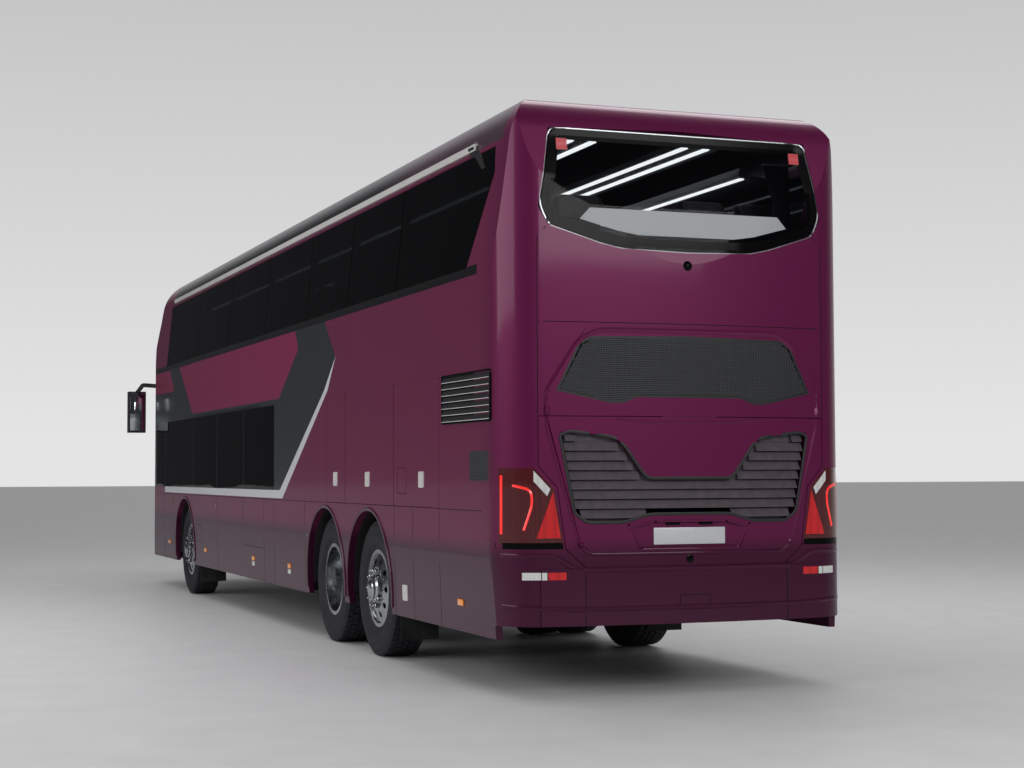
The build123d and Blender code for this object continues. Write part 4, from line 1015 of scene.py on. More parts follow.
# half outlines of the mesh: (distance from the middle, height)
MESH_TOP = ((0, 2.338), (0.668, 2.325), (0.752, 2.283), (0.902, 2.000))
MESH_FOOT = ((0, 1.962), (0.382, 1.962), (0.482, 1.922), (0.560, 1.922), (0.902, 1.998))
BOW = 8.0


def along(table, y):
    """Height of a half outline at a distance from the middle."""
    for (y0, z0), (y1, z1) in zip(table, table[1:]):
        if y0 <= abs(y) <= y1:
            return z0 + (z1 - z0) * (abs(y) - y0) / (y1 - y0)
    return table[-1][1]


def bowed(y, depth):
    """Place along the coach of a point of the bowed rear, a depth in from its surface."""
    return from_rear(depth + BOW - (BOW ** 2 - y ** 2) ** 0.5)


def mesh_sheet(bm):
    """Sheet of mesh stretched over the grille's bars, inside its rim."""
    stops = sorted({round(way * y, 4) for way in (-1, 1) for y in
                    [0.1 * k for k in range(10)] + [y for y, _ in MESH_TOP + MESH_FOOT] if y <= 0.902})
    columns = [[bm.verts.new((bowed(y, depth), y, along(table, y))) for table in (MESH_TOP, MESH_FOOT)
                for depth in (-0.0015, 0.001)] for y in stops]
    for a, b in zip(columns, columns[1:]):
        for k, m in ((0, 2), (2, 3), (3, 1), (1, 0)):
            bm.faces.new((a[k], a[m], b[m], b[k]))
    for end in (columns[0], columns[-1]):
        bm.faces.new((end[0], end[2], end[3], end[1]))
    bmesh.ops.remove_doubles(bm, verts=bm.verts[:], dist=1e-6)
    outward(bm)


ride_with(mesh_object("rear_woven_mesh", mesh_sheet), woven_steel, ROOT)


def side_mesh_sheets(bm):
    for side in SIDES:
        outline = [(0.338, 1.403), (0.752, 1.403), (0.752, 1.602), (0.338, 1.602)]
        laid_on(bm, (*SIDE_WALLS[side], "mesh_grille"), side, outline, 0.001, 0.002, 0.1)


ride_with(mesh_object("side_woven_mesh", side_mesh_sheets), woven_steel, ROOT)

slat_plastic, tree = new_material("grained black moulding")
place = object_place(tree)
hide = add_node(tree, "ShaderNodeTexVoronoi", [("Vector", place), ("Scale", 110)], feature="DISTANCE_TO_EDGE")
wide = noise_at(tree, place, 18, 6)
relief = bump(tree, hide.outputs["Distance"], 0.8, 0.003)
tone = blend(tree, wide.outputs["Fac"], "#332C33", "#564B54")
principled(tree, [ ("Base Color", tone), ("Roughness", 0.55), ("Normal", relief.outputs[0])])
# half outline of the louvre's opening: inner and outer distance from the middle at a height
LOUVRE_INNER = ((1.132, 0.0), (1.418, 0.0), (1.4185, 0.300), (1.447, 0.345), (1.637, 0.480), (1.687, 0.550),
    (1.725, 0.86))
LOUVRE_OUTER = ((1.132, 0.735), (1.190, 0.800), (1.700, 0.895), (1.725, 0.86))
SLATS, SLAT_FOOT, SLAT_PITCH, SLAT_FACE = 9, 1.160, 0.0625, 0.056


def reach(table, z):
    for (z0, y0), (z1, y1) in zip(table, table[1:]):
        if z0 <= z <= z1:
            return y0 + (y1 - y0) * (z - z0) / (z1 - z0)
    return table[-1][1]


def slats_mesh(bm):
    """Leaning slats that follow the bowed rear, each cut off at the opening's rim, before a dark back."""
    def board(y0, y1, low, high, front, lean, thick):
        steps = max(1, int((y1 - y0) / 0.08))
        rings = []
        for k in range(steps + 1):
            y = y0 + (y1 - y0) * k / steps
            rings.append([bm.verts.new((bowed(y, depth), y, z)) for depth, z in (
                (front, low), (front, low + 0.006), (front + lean, high), (front + lean + thick, high),
                (front + thick, low))])
        bridged(bm, rings)
    for slat in range(SLATS):
        low = SLAT_FOOT + slat * SLAT_PITCH
        high = low + SLAT_FACE
        outer = min(reach(LOUVRE_OUTER, low), reach(LOUVRE_OUTER, high)) - 0.004
        inner = max(reach(LOUVRE_INNER, low), reach(LOUVRE_INNER, high))
        for side in (-1, 1):
            y0, y1 = sorted((side * inner, side * outer))
            if low < 1.19 and slat == 0:
                y0, y1 = sorted((side * 0.31, side * outer))
            board(y0, y1, low, high, 0.006, 0.024, 0.005)
    for low, high in ((1.14, 1.30), (1.30, 1.45), (1.45, 1.60), (1.60, 1.715)):
        outer = min(reach(LOUVRE_OUTER, low), reach(LOUVRE_OUTER, high)) - 0.006
        inner = min(reach(LOUVRE_INNER, low), reach(LOUVRE_INNER, high))
        for side in (-1, 1):
            y0, y1 = sorted((side * inner, side * outer))
            if low < 1.19:
                y0, y1 = sorted((side * 0.31, side * outer))
            board(y0, y1, low, high, 0.040, 0.0, 0.003)
    outward(bm)


slats = mesh_object("louvre_slats", slats_mesh, 25)
ride_with(slats, slat_plastic, "engine_lid")
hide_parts("louvre_grille")

# The engine lid's fittings. A pressed blank plate in its niche under two small lamps, and a round lock.
plate_enamel, tree = new_material("blank reflective plate")
place = object_place(tree)
beads = add_node(tree, "ShaderNodeTexVoronoi", [("Vector", place), ("Scale", 260)])
tone = blend(tree, beads.outputs["Distance"], "#C9CACD", "#B2B4B8")
principled(tree, [ ("Base Color", tone), ("Roughness", 0.35), ("Coat Weight", 0.4), ("Coat Roughness", 0.1)])


def plate_mesh(bm):
    point, out = drop_on(("engine_lid",), "rear", 0.0, 1.03)
    block(bm, (point.x - 0.006, -0.26, 0.985), (point.x - 0.002, 0.26, 1.095), 0.0015)


ride_with(mesh_object("blank_plate", plate_mesh), plate_enamel, "engine_lid")


def lid_fittings(bm):
    for y, z, radius in ((0.0, 0.89, 0.026), (0.44, 1.115, 0.006), (-0.44, 1.115, 0.006)):
        point, out = drop_on(("engine_lid",), "rear", y, z)
        rings = [(radius, 0), (radius, -0.004), (radius * 0.8, -0.006), (radius * 0.45, -0.006),
                 (radius * 0.4, -0.004), (0, -0.004)]
        lathe(bm, [(0, 0)] + rings, point, 24, "X")
    for y in (-0.12, 0.12):
        point, out = drop_on(("engine_lid",), "rear", y, 1.125)
        block(bm, (point.x - 0.010, y - 0.05, 1.112), (point.x + 0.002, y + 0.05, 1.132), 0.004)


ride_with(mesh_object("lid_fittings", lid_fittings), border_black, "engine_lid")

# Rear dome. A smoked camera dome sits under the window.
def dome_mesh(bm):
    point, out = drop_on(("rear_frame",), "rear", 0.0, 2.82)
    rings = [(0, 0), (0.050, 0), (0.050, -0.006), (0.042, -0.008), (0.040, -0.012), (0.034, -0.030),
        (0.022, -0.040),
             (0.008, -0.044), (0, -0.0445)]
    # set in so that its nose stays inside the coach's box
    past = min(0.0, point.x - cad_low[0] - 0.046)
    lathe(bm, rings, point - Vector((past, 0, 0)), 32, "X")


ride_with(mesh_object("camera_dome", dome_mesh), border_black, ROOT)


# Chassis. Painted steel rails, axles and door arms, a cast engine and rubber flaps behind the wheels, all
# under a film of dry road dirt in soft patches.
def dirty(name, dark, dirt, roughness, metallic=0.0):
    """Matt finish with dirt in soft patches of 50 to 200 mm and a grit of 2 mm drawn at 4 mm."""
    material, tree = new_material(name)
    place = object_place(tree)
    patches = add_node(tree, "ShaderNodeTexNoise",
        [("Vector", place), ("Scale", 8), ("Detail", 9), ("Roughness", 0.7)])
    grit = noise_at(tree, place, 250, 2)
    relief = bump(tree, grit.outputs["Fac"], 0.4, 0.0015)
    edge = ranged(tree, patches.outputs["Fac"], 0.4, 0.7)
    tone = blend(tree, edge.outputs["Result"], dark, dirt)
    principled(tree, [ ("Base Color", tone), ("Roughness", roughness), ("Metallic", metallic),
        ("Normal", relief.outputs[0])])
    return material


chassis_paint = dirty("chassis black painted steel", "#17181A", "#3A3733", 0.6)
clad(("underframe", "front_axle", "tag_axle", "drive_axle", "front_left_knuckle", "front_right_knuckle",
      "tag_left_knuckle", "tag_right_knuckle", "front_door_arms", "mid_door_arms"), chassis_paint)
clad(("engine_block",), dirty("cast iron block", "#2B2C2D", "#4A4641", 0.7, 0.4))
clad(("mud_flaps",), dirty("ribbed black rubber", "#151515", "#33302D", 0.8))
clad(("upper_deck_floor",), dirty("grey vinyl floor covering", "#3A3D42", "#4B4E52", 0.65))

# Seats. Each place has a foam cushion and back in a woven plush with sewn edges, made as one swollen shape
# and repeated down the rows, a moulded pedestal under each pair, and a leather-like headrest.
plush, tree = new_material("woven plush")
place = object_place(tree)
# threads of 1 mm drawn at 5 mm so that the weave shows
warp = add_node(tree, "ShaderNodeTexWave", [("Vector", place), ("Scale", 32), ("Distortion", 0.6)],
    bands_direction="X")
weft = add_node(tree, "ShaderNodeTexWave", [("Vector", place), ("Scale", 32), ("Distortion", 0.6)],
    bands_direction="Z")
cloth = maths(tree, "MULTIPLY", warp.outputs["Fac"], weft.outputs["Fac"])
fade = noise_at(tree, place, 5, 6)
ground = blend(tree, fade.outputs["Fac"], "#2C2A33", "#454250")
tone = blend(tree, cloth.outputs[0], ground, "#6A4A63")
relief = bump(tree, cloth.outputs[0], 0.5, 0.0015)
principled(tree, [ ("Base Color", tone), ("Roughness", 0.9), ("Sheen Weight", 0.5),
    ("Normal", relief.outputs[0])])

hide_cover, tree = new_material("grained grey leathercloth")
place = object_place(tree)
pebble = add_node(tree, "ShaderNodeTexVoronoi", [("Vector", place), ("Scale", 300)],
    feature="DISTANCE_TO_EDGE")
relief = bump(tree, pebble.outputs["Distance"], 0.5, 0.001)
crease = noise_at(tree, place, 20, 5)
tone = blend(tree, crease.outputs["Fac"], "#77787C", "#94959A")
principled(tree, [ ("Base Color", tone), ("Roughness", 0.5), ("Normal", relief.outputs[0])])

SEAT_PITCH = 0.800
PAIR_CENTRE = 0.700
PLACE_HALF = 0.225
UPPER_FLOOR = 2.265
LOWER_FLOOR = 0.440
# side outlines of the foam from the row's place and the floor, inside the solids that they replace
CUSHION = ((-0.045, 0.335), (0.415, 0.350), (0.425, 0.425), (-0.045, 0.407))
BACK = ((-0.045, 0.440), (0.045, 0.444), (-0.095, 1.110), (-0.172, 1.110))
FOAM_HALF = 0.205


def foam_blank(outline):
    """Plain slab under the foam's outline, a little narrower than its place."""
    def build(bm):
        rings = [[bm.verts.new((x, y, z)) for x, z in outline] for y in (-FOAM_HALF, FOAM_HALF)]
        bm.faces.new(rings[0])
        bm.faces.new(list(reversed(rings[1])))
        for i in range(len(outline)):
            j = (i + 1) % len(outline)
            bm.faces.new((rings[0][j], rings[0][i], rings[1][i], rings[1][j]))
        outward(bm)
    return build


def swollen(obj, voxel, cap):
    """Remeshes a slab and blows it up like a stuffed cover, no point moving further than the cap."""
    remesh = obj.modifiers.new("voxels", "REMESH")
    remesh.mode = "VOXEL"
    remesh.voxel_size = voxel
    baked(obj)
    before = [vertex.co.copy() for vertex in obj.data.vertices]
    cloth = obj.modifiers.new("cover", "CLOTH")
    cloth.settings.use_pressure = True
    cloth.settings.uniform_pressure_force = 4
    cloth.settings.effector_weights.gravity = 0
    cloth.settings.quality = 4
    cloth.point_cache.frame_start, cloth.point_cache.frame_end = 1, 20
    for step in range(1, 16):
        scene.frame_set(step)
    baked(obj)
    scene.frame_set(1)
    for vertex, start in zip(obj.data.vertices, before):
        moved = vertex.co - start
        if moved.length > cap:
            vertex.co = start + moved.normalized() * cap
    obj.data.polygons.foreach_set("use_smooth", [True] * len(obj.data.polygons))
    return obj


foam = {name: swollen(mesh_object(f"{name}_blank", foam_blank(outline)), 0.030, 0.012)
        for name, outline in (("cushion", CUSHION), ("back", BACK))}


def headrest(bm):
    block(bm, (-0.178, -0.155, 0.955), (-0.112, 0.155, 1.112), 0.022, 3)


def pedestal(bm):
    block(bm, (0.03, -0.20, 0.002), (0.27, 0.20, 0.335), 0.02)
    block(bm, (0.05, -0.448, 0.29), (0.25, 0.448, 0.328), 0.01)


rest_blank = mesh_object("headrest_blank", headrest)
rest_blank.modifiers.new("round", "SUBSURF").levels = 1
rest_blank.modifiers["round"].render_levels = 1
baked(rest_blank)
pedestal_blank = mesh_object("pedestal_blank", pedestal)


def stair_clash(x, side):
    """Whether the stairs' opening takes this pair's place on the upper deck."""
    for rear, front, right, left in ((10.90, 12.30, -0.13, 0.47), (5.422, 6.822, 0.56, 1.16)):
        if x + 0.46 > rear and x - 0.21 < front and (left if side > 0 else -right) > PAIR_CENTRE - 0.45:
            return True
    return False


def runs(places):
    """Splits the places of one side into runs that are one pitch apart."""
    groups = []
    for x in places:
        if groups and abs(x - groups[-1][-1] - SEAT_PITCH) < 1e-6:
            groups[-1].append(x)
        else:
            groups.append([x])
    return groups


UPPER_PLACES = [0.9 + SEAT_PITCH * row for row in range(15)]
LOWER_PLACES = [7.102 + SEAT_PITCH * row for row in range(4)]


def seat_piece(name, blank, material, floor, places, per_pair, clash):
    """One object of a seat part repeated at every place on both sides of one deck."""
    made = []
    for side in (1, -1):
        free = [x for x in places if not (clash and stair_clash(x, side))]
        for group in runs(free):
            for offset in ((-PLACE_HALF, PLACE_HALF) if per_pair else (0,)):
                copy = bpy.data.objects.new(name, blank.data.copy())
                scene.collection.objects.link(copy)
                made.append(repeated(copy, row_of_copies, len(group), (SEAT_PITCH, 0, 0),
                                     (from_rear(group[0]), side * PAIR_CENTRE + offset, floor), material))
    piece = merged(name, made)
    piece.data.polygons.foreach_set("use_smooth", [True] * len(piece.data.polygons))
    ride_with(piece, material, ROOT)
    return piece


for deck, floor, places, clash in (("upper", UPPER_FLOOR, UPPER_PLACES, True),
                                   ("lower", LOWER_FLOOR, LOWER_PLACES, False)):
    for part in ("cushion", "back"):
        pad = seat_piece(f"{deck}_deck_{part}s", foam[part], plush, floor, places, True, clash)
    rests = seat_piece(f"{deck}_deck_headrests", rest_blank, hide_cover, floor, places, True, clash)
    legs = seat_piece(f"{deck}_deck_pedestals", pedestal_blank, black_plastic, floor, places, False, clash)
    legs.data.set_sharp_from_angle(angle=radians(35))
    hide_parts(f"{deck}_deck_seats")


# Joints, beads and ledges. The panels meet at gaps drawn as near-black strips, painted shadow of the grooves,
# and rolled beads stand round the raised field of the rear, along the bumper and round the plate's niche.
GAP_SECTION = ((-0.0025, -0.002), (-0.0025, 0.0006), (0.0025, 0.0006), (0.0025, -0.002))
BEAD_SECTION = ((-0.014, -0.002), (-0.012, 0.004), (-0.004, 0.009), (0.006, 0.008), (0.018, 0.002),
    (0.020, -0.002))
REAR_WALLS = ("rear_frame", "rear_bumper", "engine_lid", "mesh_grille", "tail_lamps")
FLAP_LINE = 1.205
SKIRT = 0.381
LEFT_GAPS = (
    ((4.49, FLAP_LINE), (13.3, FLAP_LINE)), ((1.40, SKIRT), (1.40, FLAP_LINE)),
    ((2.02, SKIRT), (2.02, FLAP_LINE)),
    ((2.49, SKIRT), (2.49, FLAP_LINE)), ((3.885, 1.17), (3.885, FLAP_LINE)),
    ((6.50, SKIRT), (6.50, FLAP_LINE)),
    ((6.94, SKIRT), (6.94, FLAP_LINE)), ((9.276, SKIRT), (9.276, FLAP_LINE)),
    ((5.28, SKIRT), (5.28, FLAP_LINE)),
    ((7.90, 0.715), (7.90, FLAP_LINE)), ((6.94, 0.715), (7.90, 0.715)),
    ((12.046, SKIRT), (12.046, FLAP_LINE)),
    ((12.70, SKIRT), (12.70, FLAP_LINE)), ((0.31, FLAP_LINE), (1.40, FLAP_LINE)),
    ((10.19, 0.67), (10.50, 0.67)), ((10.50, 0.67), (10.50, 0.865)), ((10.50, 0.865), (10.19, 0.865)),
    ((10.19, 0.865), (10.19, 0.67)))
FUEL_COVER = ((2.18, 1.304, 0.01), (2.40, 1.304, 0.01), (2.40, 1.495, 0.01), (2.18, 1.495, 0.01))
RIGHT_GAPS = tuple(pair for pair in LEFT_GAPS[:9] if pair[0][0] not in (5.28, 6.50)) + LEFT_GAPS[13:14]
FLAPS = {side: tuple(f"{side}_luggage_flap_{i}" for i in range(1, 4) if f"{side}_luggage_flap_{i}" in nodes)
         for side in SIDES}

# near-black strips laid over the panel gaps and round the covers: painted shadow of the grooves
gap_shadow_strip, tree = new_material("near-black painted gap shadow")
place = object_place(tree)
grain = noise_at(tree, place, 500, 2)
tone = blend(tree, grain.outputs["Fac"], "#050506", "#101012")
principled(tree, [ ("Base Color", tone), ("Roughness", 0.7), ("Specular IOR Level", 0.2)])

# rear joints: from the middle outwards (distance from the middle, height)
REAR_GAPS = (((0, 2.432), (1.045, 2.432)), ((1.045, 1.823), (1.045, 2.98)), ((1.045, 2.98), (0.985, 3.05)),
             ((0.735, 0.475), (0.735, 0.83)))
TOW_COVER = ((-0.14, 0.562, 0), (0.08, 0.562, 0), (0.08, 0.655, 0), (-0.14, 0.655, 0))
BULGE_TOP = ((-0.985, 1.83, 0), (-0.992, 1.985, 0.12), (-0.73, 2.385, 0.22), (0.73, 2.385, 0.22),
             (0.992, 1.985, 0.12), (0.985, 1.83, 0))
BULGE_LOW = ((0.985, 1.81, 0), (0.98, 1.74, 0.1), (0.765, 0.985, 0.09), (0.70, 0.93, 0.06),
    (-0.70, 0.93, 0.06),
             (-0.765, 0.985, 0.09), (-0.98, 1.74, 0.1), (-0.985, 1.81, 0))
LEDGE = ((-1.245, 0.925, 0), (-0.93, 0.925, 0.10), (-0.80, 0.832, 0.10), (0.80, 0.832, 0.10),
    (0.93, 0.925, 0.10),
         (1.245, 0.925, 0))
CREASE = ((-1.245, 0.60, 0), (-0.80, 0.580, 0), (0.80, 0.580, 0), (1.245, 0.60, 0))


def straight(ends, step=0.05):
    return rounded([(*ends[0], 0), (*ends[1], 0)], step=step)


def body_gaps(bm):
    for side, gaps in (("left", LEFT_GAPS), ("right", RIGHT_GAPS)):
        for ends in gaps:
            swept(bm, (*SIDE_WALLS[side],), side, straight(ends, 0.2), GAP_SECTION)
    for way in (-1, 1):
        for (u0, z0), (u1, z1) in REAR_GAPS:
            swept(bm, REAR_WALLS, "rear", straight(((way * u0, z0), (way * u1, z1))), GAP_SECTION)
    swept(bm, REAR_WALLS, "rear", rounded(TOW_COVER, True), GAP_SECTION, True)
    outward(bm)


ride_with(mesh_object("panel_joints", body_gaps), gap_shadow_strip, ROOT)


def fuel_joint(bm):
    swept(bm, FLAPS["left"], "left", rounded(FUEL_COVER, True), GAP_SECTION, True)
    outward(bm)


ride_with(mesh_object("fuel_cover_joint", fuel_joint), gap_shadow_strip, "left_luggage_flap_1")


def rear_beads(bm):
    swept(bm, REAR_WALLS, "rear", rounded(BULGE_TOP), BEAD_SECTION)
    swept(bm, REAR_WALLS, "rear", rounded(LEDGE), BEAD_SECTION)
    swept(bm, REAR_WALLS, "rear", rounded(CREASE), BEAD_SECTION)
    outward(bm)


ride_with(mesh_object("rear_beads", rear_beads), shell_paint, ROOT)


def lid_beads(bm):
    swept(bm, ("engine_lid",), "rear", rounded(BULGE_LOW), BEAD_SECTION)
    niche = ((-0.26, 1.14, 0.02), (0.26, 1.14, 0.02), (0.43, 1.10, 0.02), (0.36, 0.957, 0.02),
        (-0.36, 0.957, 0.02),
             (-0.43, 1.10, 0.02))
    small = [(across * 0.5, lift * 0.6) for across, lift in BEAD_SECTION]
    swept(bm, ("engine_lid",), "rear", rounded(niche, True), small, True)
    grip = ((-0.52, 1.806, 0), (-0.33, 1.786, 0.09), (0.33, 1.786, 0.09), (0.52, 1.806, 0))
    swept(bm, ("engine_lid",), "rear", rounded(grip), small)
    outward(bm)


ride_with(mesh_object("lid_beads", lid_beads), shell_paint, "engine_lid")

LOUVRE_EDGE = ((-0.290, 1.418, 0.03), (-0.335, 1.447, 0.06), (-0.470, 1.637, 0.06), (-0.540, 1.687, 0.06),
               (-0.840, 1.725, 0.04), (-0.905, 1.70, 0.03), (-0.810, 1.190, 0.06), (-0.720, 1.132, 0.04),
               (-0.480, 1.132, 0.06), (-0.290, 1.185, 0.06), (0.290, 1.185, 0.06), (0.480, 1.132, 0.06),
               (0.720, 1.132, 0.04), (0.810, 1.190, 0.06), (0.905, 1.70, 0.03), (0.840, 1.725, 0.04),
               (0.540, 1.687, 0.06), (0.470, 1.637, 0.06), (0.335, 1.447, 0.06), (0.290, 1.418, 0.03))


def louvre_rim(bm):
    rim = ((-0.010, -0.002), (-0.009, 0.004), (0.0, 0.006), (0.009, 0.004), (0.010, -0.002))
    swept(bm, ("engine_lid", "louvre_grille"), "rear", rounded(LOUVRE_EDGE, True), rim, True)
    outward(bm)


ride_with(mesh_object("louvre_rim", louvre_rim), black_plastic, "engine_lid")

GUIDE = ((1.190, 1.375, 0), (1.085, 1.345, 0.06), (1.080, 1.25, 0.06), (1.130, 1.085, 0))


def guides_mesh(bm):
    tube = ((-0.009, 0.001), (-0.006, 0.005), (0.006, 0.005), (0.009, 0.001))
    for way in (-1, 1):
        swept(bm, ("tail_lamps",), "rear", rounded([(way * u, z, r) for u, z, r in GUIDE]), tube)
    outward(bm)


ride_with(mesh_object("lamp_guides", guides_mesh), led_red, ROOT)

# Engine bay louvre in each side, seven pressed blades with light strips at their edges as painted highlight,
# over a near-black plate that is painted shade inside a black frame, and the flush pull handles of the flaps,
# cast in zinc.
SIDE_LOUVRE = (0.335, 1.320, 1.800, 2.130)
BLADES = 7


# a near-black plate fills the louvre behind the blades as painted shade of the opening, inside a raised black
# frame
def louvre_frame_and_shade(bm):
    rear, front, low, high = SIDE_LOUVRE
    for side in SIDES:
        laid_on(bm, SIDE_WALLS[side], side, [(rear, low), (front, low), (front, high), (rear, high)], 0.001,
            0.002, 0.5)
        frame_path = rounded([(rear, low, 0.02), (front, low, 0.02), (front, high, 0.02),
            (rear, high, 0.02)], True)
        swept(bm, SIDE_WALLS[side], side, frame_path,
              ((-0.007, -0.001), (-0.006, 0.009), (0.006, 0.009), (0.007, -0.001)), True)
    outward(bm)


ride_with(mesh_object("side_louvre_frames_and_shade", louvre_frame_and_shade), border_black, ROOT)


def louvre_blade(side):
    """One slanted blade at the origin, its lip at the foot, where a light strip is laid as painted highlight.
    """
    def build(bm):
        rear, front, low, high = SIDE_LOUVRE
        wall = side * HALF_WIDE
        section = ((0.0085, 0.004), (0.0100, 0.006), (0.0100, 0.010), (0.0020, 0.040), (0.0012, 0.040),
            (0.0080, 0.008))
        rings = [[bm.verts.new((x, wall + side * out, up)) for out, up in section]
                 for x in (from_rear(rear + 0.008), from_rear(front - 0.008))]
        bm.faces.new(rings[0])
        bm.faces.new(list(reversed(rings[1])))
        for k in range(len(section)):
            m = (k + 1) % len(section)
            bm.faces.new((rings[0][k], rings[1][k], rings[1][m], rings[0][m]))
        outward(bm)
    return build


def blade_highlight(side):
    """Light strip at a blade's foot, a painted highlight on its edge."""
    def build(bm):
        rear, front, low, high = SIDE_LOUVRE
        lows, highs = sorted((side * 1.2840, side * 1.2865))
        block(bm, (from_rear(rear + 0.008), lows, 0.004), (from_rear(front - 0.008), highs, 0.0085))
    return build


for side_name, side in SIDES.items():
    blades = mesh_object(f"{side_name}_louvre_blades", louvre_blade(side), 25)
    pitch = (SIDE_LOUVRE[3] - SIDE_LOUVRE[2] - 0.012) / BLADES
    repeated(blades, row_of_copies, BLADES, (0, 0, pitch), (0, 0, SIDE_LOUVRE[2] + 0.004), black_plastic)
    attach(blades, ROOT)
    # light strips along the blades' edges: painted highlight
    blade_highlights = mesh_object(f"{side_name}_louvre_highlights", blade_highlight(side), 25)
    repeated(blade_highlights, row_of_copies, BLADES, (0, 0, pitch), (0, 0, SIDE_LOUVRE[2] + 0.004), strip_satin)
    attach(blade_highlights, ROOT)


def handle_mesh(side, centre):
    def build(bm):
        x, z = centre
        walls = (*SIDE_WALLS[side], *FLAPS[side])
        outline = [(x - 0.055, z - 0.054), (x + 0.055, z - 0.054), (x + 0.055, z + 0.054),
            (x - 0.055, z + 0.054)]
        laid_on(bm, walls, side, outline, 0.0025, 0.0035, 0.2)
        swept(bm, walls, side, rounded([(u, v, 0.02) for u, v in outline], True),
              ((-0.006, -0.001), (-0.004, 0.006), (0.004, 0.006), (0.006, -0.001)), True)
        point, out = drop_on(walls, side, x, z)
        lathe(bm, [(0, 0.002 * out.y), (0.012, 0.002 * out.y), (0.012, 0.006 * out.y), (0, 0.007 * out.y)],
            point, 16, "Y")
        outward(bm)
    return build


for side, body, x, z in (
        ("left", "left_luggage_flap_1", 1.81, 1.408), ("left", "left_luggage_flap_2", 3.22, 1.408),
        ("left", "left_luggage_flap_3", 4.20, 1.408), ("right", "right_luggage_flap_1", 1.81, 1.408),
        ("right", "right_luggage_flap_2", 3.22, 1.408), ("left", ROOT, 2.24, 0.562),
        ("right", ROOT, 2.24, 0.562)):
    ride_with(mesh_object(f"{side}_pull_{int(x * 100)}", handle_mesh(side, (x, z))), strip_satin, body)

# Rear window dressing. Pleated curtains hang at both sides behind the glass on short rails, and two blank
# red squares are stuck inside the upper corners.
PLEATS = 7
CURTAIN_TOP, CURTAIN_FOOT = 3.60, 3.10


def curtain(side):
    """Gathered sheet: pleats run down it, tied in below and fuller at its foot."""
    def build(bm):
        columns, rows = PLEATS * 8, 18
        grid = []
        for row in range(rows + 1):
            t = row / rows
            z = CURTAIN_TOP + (CURTAIN_FOOT - CURTAIN_TOP) * t
            spread = 0.20 - 0.12 * sin(pi * min(1, t * 1.15)) * t
            line = []
            for column in range(columns + 1):
                s = column / columns
                depth = 0.018 * sin(2 * pi * PLEATS * s + 0.6 * t)
                y = side * (1.005 - spread * s - 0.10 * (1 - t) * 0.2)
                line.append(bm.verts.new((from_rear(0.40 + depth), y, z)))
            grid.append(line)
        for a, b in zip(grid, grid[1:]):
            for k in range(columns):
                bm.faces.new((a[k], a[k + 1], b[k + 1], b[k]))
    return build


curtain_cloth, tree = new_material("woven curtain cloth")
place = object_place(tree)
threads = add_node(tree, "ShaderNodeTexWave", [("Vector", place), ("Scale", 70)], bands_direction="Z")
fade = noise_at(tree, place, 12, 4)
ground = blend(tree, fade.outputs["Fac"], "#2B2130", "#4A2F4C")
relief = bump(tree, threads.outputs["Fac"], 0.3, 0.001)
principled(tree, [ ("Base Color", ground), ("Roughness", 0.85), ("Sheen Weight", 0.6),
    ("Normal", relief.outputs[0])])


def rails_mesh(bm):
    for side in (-1, 1):
        inner, outer = sorted((side * 0.78, side * 1.01))
        block(bm, (from_rear(0.385), inner, CURTAIN_TOP), (from_rear(0.415), outer, CURTAIN_TOP + 0.012),
            0.003)


ride_with(mesh_object("curtain_rails", rails_mesh), strip_satin, ROOT)
for side_name, side in SIDES.items():
    piece = mesh_object(f"rear_{side_name}_curtain", curtain(side), 180)
    ride_with(piece, curtain_cloth, ROOT)

RED_SQUARES = ((0.86, 3.60, 0.038), (-0.86, 3.60, 0.038))


def squares_mesh(bm):
    for y, z, half in RED_SQUARES:
        outline = [(y - half, z - half), (y + half, z - half), (y + half, z + half), (y - half, z + half)]
        laid_on(bm, ("rear_glass",), "rear", outline, 0.002, 0.0012, 0.2)


sticker_red = lens_material("blank printed film", "#A5262D", "#D9656B")
ride_with(mesh_object("window_squares", squares_mesh), sticker_red, ROOT)

# Front fittings. Clear headlamps over projector bowls, slots in the bumper, two wipers on each windscreen,
# and silvered glass in the mirrors.
headlamp_lens, tree = new_material("clear polycarbonate headlamp lens")
place = object_place(tree)
haze = noise_at(tree, place, 20, 3)
tone = blend(tree, haze.outputs["Fac"], "#6F757A", "#9EA4A8")
principled(tree, [ ("Base Color", tone), ("Roughness", 0.08), ("Metallic", 0.5), ("Coat Weight", 1.0)])
clad(("headlamps",), headlamp_lens)
FRONT_WALLS = ("front_bumper", "front_mask", "headlamps", "windscreens")


def projector_bowls(bm):
    for side in (-1, 1):
        for y in (0.78, 0.93):
            point, out = drop_on(FRONT_WALLS, "front", side * y, 0.71)
            rings = [(0, -0.004), (0.058, -0.004), (0.060, 0.004), (0.052, 0.007), (0.046, 0.003),
                (0.030, 0.006), (0, 0.011)]
            lathe(bm, rings, point, 32, "X")


ride_with(mesh_object("headlamp_projectors", projector_bowls), plated_steel, ROOT)


def bumper_slots(bm):
    for z in (0.50, 0.56, 0.70, 0.76):
        laid_on(bm, FRONT_WALLS, "front",
            [(-0.56, z - 0.018), (0.56, z - 0.018), (0.56, z + 0.018), (-0.56, z + 0.018)],
                0.001, 0.003, 0.1)


ride_with(mesh_object("bumper_slots", bumper_slots), black_plastic, ROOT)


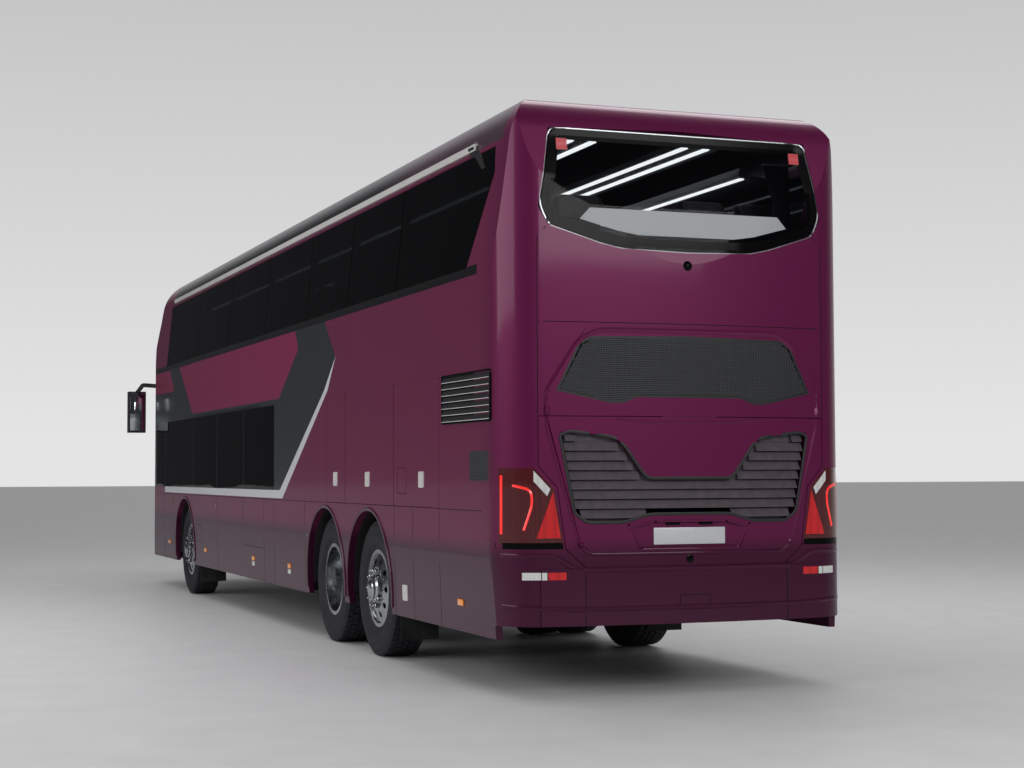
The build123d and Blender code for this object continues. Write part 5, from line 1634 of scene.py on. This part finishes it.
def wipers_mesh(bm):
    section = ((-0.010, 0.002), (-0.008, 0.018), (0.008, 0.018), (0.010, 0.002))
    blade = ((-0.005, 0.001), (-0.006, 0.012), (0.006, 0.012), (0.005, 0.001))
    for pivot, tip, low in (((0.78, 1.235), (0.12, 1.285), ((-0.08, 1.265), (0.72, 1.325))),
                            ((-0.18, 1.235), (-0.72, 1.285), ((-0.92, 1.265), (-0.16, 1.325))),
                            ((0.78, 2.665), (0.12, 2.715), ((-0.08, 2.695), (0.72, 2.755))),
                            ((-0.18, 2.665), (-0.72, 2.715), ((-0.92, 2.695), (-0.16, 2.755)))):
        swept(bm, FRONT_WALLS, "front", straight((pivot, tip)), section)
        swept(bm, FRONT_WALLS, "front", straight(low), blade)
        point, out = drop_on(FRONT_WALLS, "front", *pivot)
        lathe(bm, [(0, 0), (0.026, 0), (0.026, 0.014), (0.018, 0.022), (0, 0.022)], point, 20, "X")
    outward(bm)


ride_with(mesh_object("wipers", wipers_mesh), black_plastic, ROOT)

silvered, tree = new_material("silvered mirror glass")
place = object_place(tree)
film = noise_at(tree, place, 9, 3)
rough = add_node(tree, "ShaderNodeMapRange",
    [("Value", film.outputs["Fac"]), ("To Min", 0.01), ("To Max", 0.05)])
principled(tree, [ ("Base Color", srgb("#B9C0C4")), ("Metallic", 1.0),
    ("Roughness", rough.outputs["Result"])])


def mirror_panes(bm):
    for side in (-1, 1):
        spot, out = drop_on(("mirrors",), "rear", side * 1.45, 2.30)
        y = [vertex.co.y for vertex in nodes["mirrors"].data.vertices
             if vertex.co.y * side > 0 and vertex.co.z < 2.45]
        low, high = min(y) + 0.018, max(y) - 0.018
        block(bm, (spot.x - 0.003, low, 2.05), (spot.x + 0.002, high, 2.56), 0.0012)


ride_with(mesh_object("mirror_panes", mirror_panes), silvered, ROOT)

# Driver's place. A moulded wheel on its column stands over the dashboard, and the seat has a foam cushion
# and back in the saloon's plush with a headrest.
DRIVER_X, DRIVER_Y, DRIVER_FLOOR = 12.60, 0.70, 0.88


def wheel_ring(bm):
    centre = Vector((from_rear(13.04), DRIVER_Y, 1.56))
    axis = Vector((-0.7, 0, 1)).normalized()
    across = Vector((0, 1, 0))
    along = axis.cross(across)
    rings = []
    for step in range(48):
        turn = 2 * pi * step / 48
        heading = across * cos(turn) + along * sin(turn)
        middle = centre + heading * 0.225
        rings.append([bm.verts.new(middle + (heading * cos(a) + axis * sin(a)) * 0.014)
                      for a in [2 * pi * k / 10 for k in range(10)]])
    bridged(bm, rings + rings[:1], False)
    for turn in (0.5, 2.64, 4.71):
        heading = across * cos(turn) + along * sin(turn)
        aside = axis.cross(heading)
        corners = [[bm.verts.new(centre + heading * reach + aside * wide + axis * thick)
                    for wide, thick in ((-0.016, -0.006), (0.016, -0.006), (0.016, 0.006), (-0.016, 0.006))]
                   for reach in (0.03, 0.218)]
        bridged(bm, corners)
    hub = [[bm.verts.new(centre + (across * cos(a) + along * sin(a)) * radius + axis * lift)
            for a in [2 * pi * k / 20 for k in range(20)]]
           for radius, lift in ((0.035, -0.36), (0.035, -0.03), (0.055, -0.02), (0.052, 0.012))]
    bridged(bm, hub)
    outward(bm)


ride_with(mesh_object("steering_wheel", wheel_ring), black_plastic, ROOT)


def driver_piece(name, blank, material):
    copy = bpy.data.objects.new(name, blank.data.copy())
    scene.collection.objects.link(copy)
    repeated(copy, row_of_copies, 1, (SEAT_PITCH, 0, 0), (from_rear(DRIVER_X), DRIVER_Y, DRIVER_FLOOR),
        material)
    for vertex in copy.data.vertices:
        middle = Vector((from_rear(DRIVER_X) + (0.19 if "cushion" in name else -0.07), DRIVER_Y, vertex.co.z))
        vertex.co = middle + Vector(((vertex.co.x - middle.x) * 1.24, (vertex.co.y - middle.y) * 1.14, 0))
        vertex.co.z += 0.012 if "cushion" in name else 0.02
    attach(copy, ROOT)


driver_piece("driver_cushion", foam["cushion"], plush)
driver_piece("driver_back", foam["back"], plush)
driver_piece("driver_headrest", rest_blank, hide_cover)
for blank in (*foam.values(), rest_blank, pedestal_blank):
    bpy.data.objects.remove(blank)
